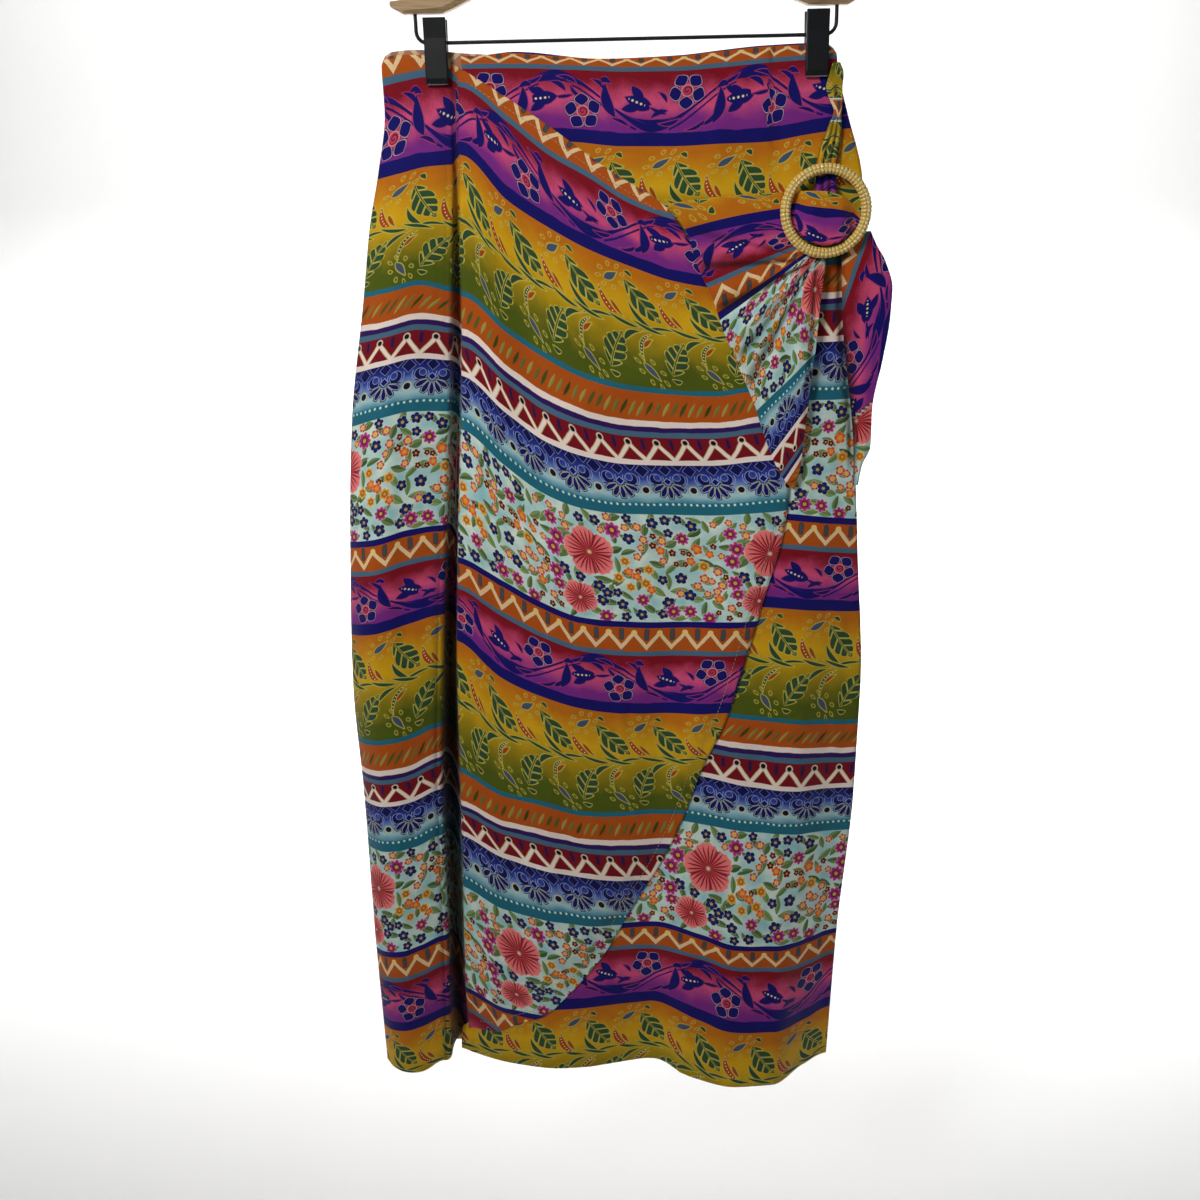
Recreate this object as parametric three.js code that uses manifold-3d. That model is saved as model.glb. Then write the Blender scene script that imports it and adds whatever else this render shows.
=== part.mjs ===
// Wrap skirt of printed woven cloth, held by two clips on a wooden hanger.
// Millimetres, +Z up, the front faces -Y. The origin is the inside top of the hook.
import * as THREE from "three";
import { mergeVertices } from "three/addons/utils/BufferGeometryUtils.js";
import Module from "manifold-3d";

const wasm = await Module();
wasm.setup();

// ---------------------------------------------------------------- sizes
const CLOTH = 1.2; // wall of the cloth solids
const GAP = 0.3; // clearance between sewn pieces
const HALF_SEAM = 0.3; // half of the space between front and back at the clips
const LIP_RADIUS = 5.5; // bend of the cloth on both sides of the deep fold

const HANGER_TILT = (1.2 * Math.PI) / 180; // right end hangs higher
const HOOK_INSIDE_R = 20;
const HOOK_WIRE_R = 2;
const WIRE_R = 1.5;
const WIRE_Z = -145;
const WIRE_HALF = 168; // half of the span between the wire's uprights
const BAR_DEPTH = 13;
const CLIP_HALF_SPAN = 152.5;
const CLIP_W = 18;
const CLIP_TOP = -127;
const CLIP_BOTTOM = -176;
const JAW_FACE = 1.8; // distance of each jaw's face from the wire's middle plane
const JAW_THICK = 5;

const RING = { x: 166.7, y: -16, z: -277.2, outer: 37.5, tube: 4.35 };
const RING_BAR_R = 2.4;

// Outline of the hanging cloth by height: both side edges and the two lips of the deep fold.
const OUTLINE = [
  { z: -153, left: -188, lipL: -140, lipR: -133, right: 172 },
  { z: -166, left: -194, lipL: -139, lipR: -132.5, right: 173.5 },
  { z: -200, left: -193, lipL: -138.5, lipR: -132.5, right: 183 },
  { z: -245, left: -200, lipL: -138.5, lipR: -133, right: 197 },
  { z: -290, left: -209.5, lipL: -140, lipR: -134.5, right: 202.5 },
  { z: -350, left: -218, lipL: -142, lipR: -135, right: 204 },
  { z: -450, left: -233, lipL: -147, lipR: -138.5, right: 204.5 },
  { z: -560, left: -240.5, lipL: -153.5, lipR: -144, right: 212 },
  { z: -700, left: -245, lipL: -161, lipR: -148.5, right: 222.5 },
  { z: -800, left: -240.5, lipL: -164, lipR: -148.5, right: 222 },
  { z: -950, left: -237, lipL: -164, lipR: -149.5, right: 213.5 },
  { z: -1095, left: -231, lipL: -165, lipR: -150, right: 210 },
];

// Depth of the side seams, of the left tube's crown and lip, and how far the fold goes in.
const DEPTHS = [
  { z: -153, seamL: 0, crown: 0, lip: 0, fold: 0.2, seamR: 0 },
  { z: -184, seamL: 0, crown: 0, lip: 0, fold: 0.3, seamR: 0 },
  { z: -233, seamL: 0, crown: -4, lip: -3, fold: 3, seamR: 0 },
  { z: -300, seamL: 0.5, crown: -9, lip: -6, fold: 8, seamR: 1.5 },
  { z: -450, seamL: 1.5, crown: -17, lip: -9, fold: 16, seamR: 4 },
  { z: -600, seamL: 2, crown: -21, lip: -11, fold: 21, seamR: 6 },
  { z: -800, seamL: 3, crown: -23, lip: -12, fold: 26, seamR: 8 },
  { z: -1000, seamL: 3, crown: -19, lip: -9, fold: 24, seamR: 10 },
  { z: -1095, seamL: 2, crown: -16, lip: -7, fold: 22, seamR: 11 },
];

// Front face of the under panel: depth at five heights for stations across the front.
const UNDER_DEPTH = [
  { x: -150, top: 0, thigh: 4, knee: 7, calf: 8, hem: 13 },
  { x: -105, top: -0.3, thigh: 3, knee: 4, calf: 4, hem: -3 },
  { x: -60, top: -0.8, thigh: 1, knee: 1, calf: -2, hem: -10 },
  { x: -20, top: -1.5, thigh: -1, knee: -2, calf: -5, hem: -8 },
  { x: 30, top: -1.8, thigh: -3, knee: -3, calf: -4, hem: -2 },
  { x: 75, top: -1, thigh: -4, knee: -5, calf: -12, hem: -25 },
  { x: 115, top: -0.2, thigh: -4, knee: -8, calf: -18, hem: -36 },
  { x: 150, top: 0, thigh: -3, knee: -7, calf: -15, hem: -34 },
  { x: 185, top: 0, thigh: -0.5, knee: -1, calf: -3, hem: -2 },
  { x: 212, top: 0, thigh: 2, knee: 5, calf: 8, hem: 11 },
];
const UNDER_LEVELS = { top: -155, thigh: -350, knee: -600, calf: -850, hem: -1095 };

// Extra space between the overlap and the under panel, far from the overlap's free edge.
const CLEARANCE = [
  { x: -150, top: 0, thigh: 6, knee: 13, calf: 15, hem: 17 },
  { x: -100, top: 0, thigh: 6, knee: 14, calf: 17, hem: 8 },
  { x: -45, top: 0, thigh: 6, knee: 12, calf: 14, hem: 4 },
  { x: 10, top: 0, thigh: 4, knee: 8, calf: 7, hem: 2 },
  { x: 70, top: 0, thigh: 3, knee: 4, calf: 3, hem: 2 },
  { x: 150, top: 0, thigh: 1, knee: 2, calf: 2, hem: 2 },
];

// Waist of the under panel, and of the overlap where it droops to the tie's seam.
const UNDER_WAIST = [
  { x: -142, z: -154 },
  { x: -121, z: -158 },
  { x: -86, z: -154.7 },
  { x: -18, z: -160 },
  { x: 43, z: -157.6 },
  { x: 82, z: -153.2 },
  { x: 113, z: -150 },
  { x: 160, z: -148 },
  { x: 175, z: -160 },
];
const BACK_WAIST = [
  { x: -196, z: -164 },
  { x: -187, z: -155 },
  { x: -165, z: -153 },
  { x: -120, z: -156 },
  { x: 0, z: -160 },
  { x: 110, z: -152 },
  { x: 165, z: -149 },
  { x: 176, z: -160 },
];
const OVERLAP_WAIST = [
  { x: -196, z: -166 },
  { x: -186, z: -157.5 },
  { x: -165, z: -157 },
  { x: -145, z: -160 },
  { x: -132.7, z: -166 },
  { x: -102.6, z: -183.7 },
  { x: -59.4, z: -211 },
  { x: -13, z: -243.4 },
  { x: 37.3, z: -274.7 },
  { x: 45, z: -284 },
  { x: 65.5, z: -318 },
  { x: 76, z: -340.5 },
  { x: 96, z: -366 },
  { x: 122.7, z: -415 },
  { x: 140, z: -462 },
  { x: 147, z: -508 },
];
// Free edge of the overlap, the curve from the tie down to the fold.
const FREE_EDGE = [
  { x: -150, z: -1060 },
  { x: -121.5, z: -1058.3 },
  { x: -98.6, z: -1046 },
  { x: -74, z: -1035.7 },
  { x: -51, z: -1013.3 },
  { x: -14, z: -967 },
  { x: 18, z: -908 },
  { x: 39.7, z: -870 },
  { x: 60.6, z: -820 },
  { x: 75.5, z: -773.7 },
  { x: 97.2, z: -722.3 },
  { x: 117.8, z: -649.3 },
  { x: 130.4, z: -600.8 },
  { x: 142.1, z: -556.9 },
  { x: 147, z: -524 },
];
const HEM = [
  { x: -240, z: -1087 },
  { x: -225, z: -1093 },
  { x: -186, z: -1094 },
  { x: -163, z: -1085 },
  { x: -145, z: -1090 },
  { x: -90, z: -1093 },
  { x: 50, z: -1092.5 },
  { x: 110, z: -1096 },
  { x: 170, z: -1095 },
  { x: 215, z: -1090 },
];

// ---------------------------------------------------------------- helpers
const clamp = (v, a, b) => Math.min(b, Math.max(a, v));
const lerp = (a, b, t) => a + (b - a) * t;
const smooth = (t) => {
  const c = clamp(t, 0, 1);
  return c * c * (3 - 2 * c);
};

// A smooth curve through a table's rows that never overshoots between them.
function curve(rows, xKey, yKey) {
  const p = rows.map((r) => [r[xKey], r[yKey]]).sort((a, b) => a[0] - b[0]);
  const n = p.length;
  const d = [];
  for (let i = 0; i < n - 1; i++) d.push((p[i + 1][1] - p[i][1]) / (p[i + 1][0] - p[i][0]));
  const m = [d[0]];
  for (let i = 1; i < n - 1; i++) m.push(d[i - 1] * d[i] <= 0 ? 0 : (2 * d[i - 1] * d[i]) / (d[i - 1] + d[i]));
  m.push(d[n - 2]);
  return (x) => {
    if (x <= p[0][0]) return p[0][1];
    if (x >= p[n - 1][0]) return p[n - 1][1];
    let i = 0;
    while (x > p[i + 1][0]) i++;
    const h = p[i + 1][0] - p[i][0];
    const t = (x - p[i][0]) / h;
    const a = (1 + 2 * t) * (1 - t) * (1 - t);
    const b = t * (1 - t) * (1 - t);
    const c = t * t * (3 - 2 * t);
    const e = t * t * (t - 1);
    return a * p[i][1] + b * h * m[i] + c * p[i + 1][1] + e * h * m[i + 1];
  };
}

// A smooth surface from a table whose rows are stations in x and whose columns are heights.
function field(rows, levels) {
  const keys = Object.keys(levels);
  const across = keys.map((k) => curve(rows, "x", k));
  return (x, z) => {
    const column = keys.map((k, i) => ({ z: levels[k], y: across[i](x) }));
    return curve(column, "z", "y")(z);
  };
}

const leftAt = curve(OUTLINE, "z", "left");
const rightAt = curve(OUTLINE, "z", "right");
const lipLAt = curve(OUTLINE, "z", "lipL");
const lipRAt = curve(OUTLINE, "z", "lipR");
const seamLAt = curve(DEPTHS, "z", "seamL");
const seamRAt = curve(DEPTHS, "z", "seamR");
const crownAt = curve(DEPTHS, "z", "crown");
const lipAt = curve(DEPTHS, "z", "lip");
const foldAt = curve(DEPTHS, "z", "fold");
const underRaw = field(UNDER_DEPTH, UNDER_LEVELS);
const clearRaw = field(CLEARANCE, UNDER_LEVELS);
const underTop = curve(UNDER_WAIST, "x", "z");
const backTop = curve(BACK_WAIST, "x", "z");
const overTop = curve(OVERLAP_WAIST, "x", "z");
const freeEdge = curve(FREE_EDGE, "x", "z");
const hemAt = curve(HEM, "x", "z");

// Front faces of the three layers.
const frontUnder = (x, z) => underRaw(x, z) - HALF_SEAM - CLOTH;
function frontOver(x, z) {
  const above = clamp((z - freeEdge(x)) / 60, 0, 1);
  const extra = clearRaw(x, z) * smooth(above);
  const lap = smooth((x - lipRAt(z)) / 8);
  // Where the under panel starts, the overlap steps out to lie on top of it.
  return frontUnder(x, z) - (CLOTH * 1.15 + GAP + 0.4) * lap - extra;
}

// ---------------------------------------------------------------- shells
// A closed sheet of cloth from a grid of points: `front` is rows of points, seen from -Y with
// columns running to +X and rows running down. The back face is moved along the normals.
function shell(rows, thickness, side = 1) {
  const nr = rows.length;
  const nc = rows[0].length;
  const normals = rows.map((row, i) =>
    row.map((_, j) => {
      const du = new THREE.Vector3().subVectors(rows[i][Math.min(nc - 1, j + 1)], rows[i][Math.max(0, j - 1)]);
      const dv = new THREE.Vector3().subVectors(rows[Math.min(nr - 1, i + 1)][j], rows[Math.max(0, i - 1)][j]);
      return new THREE.Vector3().crossVectors(dv, du).normalize().multiplyScalar(-1);
    }),
  );
  const pos = [];
  rows.forEach((row) => row.forEach((p) => pos.push(p.x, p.y, p.z)));
  rows.forEach((row, i) =>
    row.forEach((p, j) => {
      const n = normals[i][j];
      pos.push(p.x + n.x * thickness * side, p.y + n.y * thickness * side, p.z + n.z * thickness * side);
    }),
  );
  const f = (i, j) => i * nc + j;
  const b = (i, j) => nr * nc + i * nc + j;
  const tris = [];
  const quad = (a, c, d, e) => tris.push(a, c, d, a, d, e);
  for (let i = 0; i < nr - 1; i++)
    for (let j = 0; j < nc - 1; j++) {
      quad(f(i, j), f(i + 1, j), f(i + 1, j + 1), f(i, j + 1));
      quad(b(i, j), b(i, j + 1), b(i + 1, j + 1), b(i + 1, j));
    }
  for (let j = 0; j < nc - 1; j++) {
    quad(f(0, j), f(0, j + 1), b(0, j + 1), b(0, j));
    quad(f(nr - 1, j + 1), f(nr - 1, j), b(nr - 1, j), b(nr - 1, j + 1));
  }
  for (let i = 0; i < nr - 1; i++) {
    quad(f(i + 1, 0), f(i, 0), b(i, 0), b(i + 1, 0));
    quad(f(i, nc - 1), f(i + 1, nc - 1), b(i + 1, nc - 1), b(i, nc - 1));
  }
  if (side < 0) for (let i = 0; i < tris.length; i += 3) [tris[i + 1], tris[i + 2]] = [tris[i + 2], tris[i + 1]];
  const g = new THREE.BufferGeometry();
  g.setAttribute("position", new THREE.Float32BufferAttribute(pos, 3));
  g.setIndex(tris);
  return g;
}

// A closed bar swept along a path, with an elliptical section that may change on the way.
function sweep(points, sections, across = new THREE.Vector3(0, 1, 0)) {
  const n = sections[0].length;
  const pos = [];
  points.forEach((p, i) => {
    const t = new THREE.Vector3()
      .subVectors(points[Math.min(points.length - 1, i + 1)], points[Math.max(0, i - 1)])
      .normalize();
    const w = new THREE.Vector3().crossVectors(across, t).normalize();
    const d = new THREE.Vector3().crossVectors(t, w).normalize();
    sections[i].forEach(([a, b]) => {
      pos.push(p.x + w.x * a + d.x * b, p.y + w.y * a + d.y * b, p.z + w.z * a + d.z * b);
    });
  });
  const tris = [];
  const last = (points.length - 1) * n;
  for (let i = 0; i < points.length - 1; i++)
    for (let j = 0; j < n; j++) {
      const k = (j + 1) % n;
      tris.push(i * n + j, i * n + k, (i + 1) * n + k, i * n + j, (i + 1) * n + k, (i + 1) * n + j);
    }
  for (let j = 1; j < n - 1; j++) {
    tris.push(0, j + 1, j);
    tris.push(last, last + j, last + j + 1);
  }
  const g = new THREE.BufferGeometry();
  g.setAttribute("position", new THREE.Float32BufferAttribute(pos, 3));
  g.setIndex(tris);
  return g;
}
const ellipse = (a, b, n) =>
  Array.from({ length: n }, (_, i) => {
    const q = (i / n) * Math.PI * 2;
    return [a * Math.cos(q), b * Math.sin(q)];
  });

function asManifold(g) {
  const p = g.getAttribute("position").array;
  return new wasm.Manifold(
    new wasm.Mesh({ numProp: 3, vertProperties: Float32Array.from(p), triVerts: Uint32Array.from(g.getIndex().array) }),
  );
}
function outward(g) {
  const m = asManifold(g);
  if (m.volume() < 0) {
    const t = g.getIndex().array;
    for (let i = 0; i < t.length; i += 3) [t[i + 1], t[i + 2]] = [t[i + 2], t[i + 1]];
  }
  return g;
}
// A library shape with only its positions, its shared vertices joined.
function merged(g) {
  g.deleteAttribute("normal");
  g.deleteAttribute("uv");
  return outward(mergeVertices(g, 1e-4));
}
function fromManifold(m) {
  const mesh = m.getMesh();
  const g = new THREE.BufferGeometry();
  const pos = new Float32Array(mesh.numVert * 3);
  for (let i = 0; i < mesh.numVert; i++)
    for (let k = 0; k < 3; k++) pos[3 * i + k] = mesh.vertProperties[i * mesh.numProp + k];
  g.setAttribute("position", new THREE.BufferAttribute(pos, 3));
  g.setIndex(Array.from(mesh.triVerts));
  return g;
}

const root = new THREE.Group();
const hanger = new THREE.Group();
hanger.rotation.y = -HANGER_TILT;
root.add(hanger);

function add(group, name, geometry, colour, rough = 0.9) {
  const g = outward(geometry);
  g.computeVertexNormals();
  const mesh = new THREE.Mesh(g, new THREE.MeshStandardMaterial({ color: colour, roughness: rough }));
  mesh.name = name;
  group.add(mesh);
  return mesh;
}
const V = (x, y, z) => new THREE.Vector3(x, y, z);
const steps = (n) => Array.from({ length: n + 1 }, (_, i) => i / n);

// ---------------------------------------------------------------- back panel
const backDepth = curve(
  [
    { z: -155, y: 0 },
    { z: -188, y: 0 },
    { z: -240, y: 5 },
    { z: -350, y: 12 },
    { z: -600, y: 18 },
    { z: -850, y: 23 },
    { z: -1095, y: 24 },
  ],
  "z",
  "y",
);
{
  const rows = steps(24).map((t) =>
    steps(18).map((s) => {
      const edge = 0.5 - 0.5 * Math.cos(Math.PI * s);
      const q = lerp(s, edge, 0.6);
      let x = lerp(-196, 176, q);
      let z = 0;
      for (let k = 0; k < 6; k++) {
        z = lerp(backTop(x), hemAt(x), t);
        x = lerp(leftAt(z), rightAt(z), q);
      }
      const round = 1 - Math.pow(Math.abs(2 * q - 1), 5);
      const wave = 2.2 * Math.sin(q * 17 + 0.6) * clamp((-z - 220) / 700, 0, 1) * round;
      const y = lerp(seamLAt(z), seamRAt(z), q) + HALF_SEAM + backDepth(z) * round + wave;
      return V(x, y, z);
    }),
  );
  add(root, "back_panel", shell(rows, CLOTH, 1), 0x8a5a30);
}

// ---------------------------------------------------------------- under front panel
const underLeft = curve(
  [
    { z: -153, x: -130 },
    { z: -233, x: -126 },
    { z: -450, x: -130 },
    { z: -700, x: -138 },
    { z: -1000, x: -141 },
    { z: -1095, x: -145 },
  ],
  "z",
  "x",
);
{
  const rows = steps(26).map((t) =>
    steps(20).map((s) => {
      let x = lerp(-130, 176, s);
      let z = 0;
      for (let k = 0; k < 6; k++) {
        z = lerp(underTop(x), hemAt(x), t);
        x = lerp(underLeft(z), rightAt(z), s);
      }
      const seam = seamRAt(z) - HALF_SEAM - CLOTH;
      const near = smooth((rightAt(z) - x) / 24);
      return V(x, lerp(seam, frontUnder(x, z), near), z);
    }),
  );
  add(root, "under_front_panel", shell(rows, CLOTH, 1), 0x7a3f5e);
}

// ---------------------------------------------------------------- overlap front panel
// Stations across: the left tube, the deep fold with its two lips, then the lapped part.
const TUBE = [0, 0.04, 0.1, 0.2, 0.33, 0.48, 0.63, 0.78, 0.9];
function tubePoint(q, z) {
  const a = leftAt(z);
  const b = lipLAt(z) - LIP_RADIUS;
  const rise = 1 - Math.pow(1 - clamp(q / 0.5, 0, 1), 2.3);
  const fall = smooth((q - 0.45) / 0.55);
  const y = lerp(lerp(seamLAt(z), crownAt(z), rise), lipAt(z), fall);
  return V(lerp(a, b, q), y - HALF_SEAM - CLOTH, z);
}
function foldPoint(q, z) {
  // q runs 0..1 from the left lip's start, into the fold and out to the right lip's end.
  const l = lipLAt(z);
  const r = lipRAt(z);
  const w = (r - l) / 2;
  const d = foldAt(z);
  const yl = lipAt(z) - HALF_SEAM - CLOTH;
  const yr = frontOver(r + LIP_RADIUS, z);
  const lipDepth = Math.min(LIP_RADIUS, d * 0.4);
  const bottom = Math.min(Math.max(yl, yr) + d, 18);
  if (q < 0.3) {
    const a = (q / 0.3) * (Math.PI / 2);
    return V(l - LIP_RADIUS + LIP_RADIUS * Math.sin(a), yl + lipDepth * (1 - Math.cos(a)), z);
  }
  if (q > 0.7) {
    const a = ((1 - q) / 0.3) * (Math.PI / 2);
    return V(r + LIP_RADIUS - LIP_RADIUS * Math.sin(a), yr + lipDepth * (1 - Math.cos(a)), z);
  }
  const a = ((q - 0.3) / 0.4) * Math.PI;
  const y0 = q < 0.5 ? yl + lipDepth : yr + lipDepth;
  return V((l + r) / 2 - w * Math.cos(a), lerp(y0, bottom, Math.pow(Math.sin(a), 0.9)), z);
}
const FOLD = [0, 0.1, 0.2, 0.3, 0.36, 0.43, 0.5, 0.57, 0.64, 0.7, 0.8, 0.9, 1];
const LAP = [0.03, 0.07, 0.12, 0.18, 0.25, 0.33, 0.41, 0.49, 0.57, 0.65, 0.73, 0.81, 0.88, 0.94, 0.98, 1];
{
  const rows = steps(30).map((t) => {
    const row = [];
    TUBE.forEach((q) => {
      let x = lerp(-196, -145, q);
      let z = 0;
      for (let k = 0; k < 8; k++) {
        z = lerp(overTop(x), lerp(hemAt(x), -1086, smooth((q - 0.6) / 0.4)), t);
        x = lerp(leftAt(z), lipLAt(z) - LIP_RADIUS, q);
      }
      row.push(tubePoint(q, z));
    });
    FOLD.forEach((q) => {
      const top = lerp(overTop(-146), overTop(-127), q);
      const bottom = lerp(-1086, freeEdge(-144), smooth(q));
      const z = lerp(top, bottom, t);
      row.push(foldPoint(q, z));
    });
    LAP.forEach((s) => {
      const xNominal = lerp(-127, 147, s);
      let x = xNominal;
      let z = 0;
      for (let k = 0; k < 8; k++) {
        z = lerp(overTop(x), freeEdge(Math.max(x, -150)), t);
        x = lerp(lipRAt(z) + LIP_RADIUS, 147, s);
      }
      row.push(V(x, frontOver(x, z), z));
    });
    return row;
  });
  add(root, "overlap_front_panel", shell(rows, CLOTH, 1), 0xb5651d);
}

// ---------------------------------------------------------------- tie through the ring
// Fan of cloth from the overlap's edge and its hanging end to the ring, by edge points.
// Rows run from the band's top edge round to the hanging end's right edge.
const TIE_FAN = [
  { s: 0, xo: 43, zo: -275, yo: -7, xi: 132, zi: -262.5, yi: -9.9 },
  { s: 0.16, xo: 57, zo: -294.5, yo: -7.4, xi: 132, zi: -281, yi: -9.9 },
  { s: 0.32, xo: 65.5, zo: -320, yo: -8, xi: 133, zi: -298, yi: -9.9 },
  { s: 0.45, xo: 76, zo: -340.5, yo: -10.5, xi: 140, zi: -311, yi: -9.8 },
  { s: 0.58, xo: 93, zo: -377, yo: -11, xi: 146, zi: -319, yi: -9.5 },
  { s: 0.7, xo: 113, zo: -434, yo: -11, xi: 152, zi: -322, yi: -9.5 },
  { s: 0.82, xo: 138, zo: -497, yo: -12, xi: 158, zi: -323.5, yi: -9.5 },
  { s: 0.92, xo: 150, zo: -509, yo: -12, xi: 163, zi: -323.5, yi: -9.5 },
  { s: 1, xo: 156, zo: -490, yo: -11, xi: 168, zi: -322, yi: -9.5 },
];
const fan = (key) => curve(TIE_FAN, "s", key);
const [fxo, fzo, fyo, fxi, fzi, fyi] = ["xo", "zo", "yo", "xi", "zi", "yi"].map(fan);
{
  // The columns run from the outer edge to the ring, the rows turn round the fan.
  const rows = steps(26).map((s) =>
    steps(9).map((r) => {
      const pleat = Math.sin(s * Math.PI * 11) * 1.4 * smooth((s - 0.3) / 0.2) * Math.sin(Math.PI * (0.15 + 0.7 * r));
      const x = lerp(fxo(s), fxi(s), r);
      const z = lerp(fzo(s), fzi(s), r);
      const bow = -2.4 * Math.sin(Math.PI * r);
      const laid = frontOver(x, z) - 1.25 * CLOTH - 0.5;
      const free = lerp(fyo(s), fyi(s), r) + bow - 1.4 + pleat;
      return V(x, Math.min(free, laid), z);
    }),
  );
  add(root, "tie_fan", shell(rows, CLOTH, 1), 0x9a6fb0);
}

// Band that fills the ring: it passes behind both sides of the ring and over its bar.
const TIE_BAND = [
  { x: 132.5, top: -262.5, low: -292 },
  { x: 137, top: -262.2, low: -293 },
  { x: 143, top: -262, low: -291.5 },
  { x: 147, top: -261.6, low: -296.5 },
  { x: 152, top: -261.5, low: -300.5 },
  { x: 166.7, top: -262, low: -304.5 },
  { x: 181.4, top: -266.5, low: -300.5 },
  { x: 186.4, top: -270, low: -296.5 },
  { x: 190, top: -273, low: -291.7 },
  { x: 199, top: -284, low: -291 },
];
{
  const top = curve(TIE_BAND, "x", "top");
  const low = curve(TIE_BAND, "x", "low");
  const rows = steps(7).map((t) =>
    steps(20).map((s) => {
      const x = lerp(132.5, 199, s);
      const z = lerp(top(x), low(x), t);
      const away = Math.abs(x - RING.x);
      const rise = smooth((28.5 - away) / 18);
      const y = lerp(-11.4, RING.y - RING_BAR_R - CLOTH - 0.45, rise);
      return V(x, y - CLOTH * 0.05, z);
    }),
  );
  add(root, "tie_band", shell(rows, CLOTH, 1), 0x8e2f86);
}

// End of the tie that falls behind the ring's right side.
const TIE_END = [
  { z: -293, left: 192, right: 205.5, y: -8.6 },
  { z: -304, left: 188.5, right: 211, y: -8.8 },
  { z: -317, left: 183, right: 219, y: -9 },
  { z: -340, left: 184, right: 226.3, y: -9 },
  { z: -362, left: 185.5, right: 226, y: -8.4 },
  { z: -397, left: 190, right: 222, y: -8 },
  { z: -440, left: 197, right: 215.5, y: -7.5 },
  { z: -472, left: 201, right: 216, y: -7 },
  { z: -489, left: 202, right: 209.5, y: -7 },
  { z: -506, left: 202.5, right: 207, y: -7 },
];
{
  const l = curve(TIE_END, "z", "left");
  const r = curve(TIE_END, "z", "right");
  const d = curve(TIE_END, "z", "y");
  const rows = steps(18).map((t) =>
    steps(5).map((s) => {
      const z = lerp(-293, -506, t);
      const swell = (0.3 + 1.3 * smooth((-z - 300) / 50)) * Math.sin(Math.PI * s);
      return V(lerp(l(z), r(z), s), d(z) - swell - 1.1, z);
    }),
  );
  add(root, "tie_end", shell(rows, CLOTH, 1), 0x7d2750);
}

// Strap from the waist by the right clip down to the ring's top.
const STRAP = [
  { z: -163, x: 171.5, half: 3, y: -4.6 },
  { z: -170, x: 172, half: 5.4, y: -5.2 },
  { z: -181, x: 170.5, half: 6.6, y: -6 },
  { z: -192, x: 172.5, half: 5, y: -6.2 },
  { z: -199, x: 174, half: 3.2, y: -6.2 },
  { z: -214, x: 172, half: 6, y: -6.4 },
  { z: -229, x: 168.5, half: 8, y: -7.4 },
  { z: -243, x: 166.5, half: 8.5, y: -9 },
  { z: -257, x: 166.7, half: 7.5, y: -9.6 },
];
{
  const sx = curve(STRAP, "z", "x");
  const sh = curve(STRAP, "z", "half");
  const sy = curve(STRAP, "z", "y");
  const rows = steps(14).map((t) =>
    steps(6).map((s) => {
      const z = lerp(-163, -257, t);
      const ridge = 1.1 * Math.cos(s * Math.PI * 4) * smooth((-z - 190) / 20);
      return V(sx(z) + (2 * s - 1) * sh(z), sy(z) - 1.1 * Math.sin(Math.PI * s) - 0.5 + 0.5 * ridge, z);
    }),
  );
  add(root, "ring_strap", shell(rows, CLOTH, 1), 0x8c8a20);
}

// ---------------------------------------------------------------- ring with its cross bar
{
  const mean = RING.outer - RING.tube;
  const torus = new THREE.TorusGeometry(mean, RING.tube, 12, 72).rotateX(Math.PI / 2);
  const bar = new THREE.CylinderGeometry(RING_BAR_R, RING_BAR_R, 2 * mean, 14).rotateX(Math.PI / 2);
  const g = fromManifold(asManifold(merged(torus)).add(asManifold(merged(bar))));
  g.translate(RING.x, RING.y, RING.z);
  add(root, "ring_buckle", g, 0xe1b45a, 0.45);
}

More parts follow.
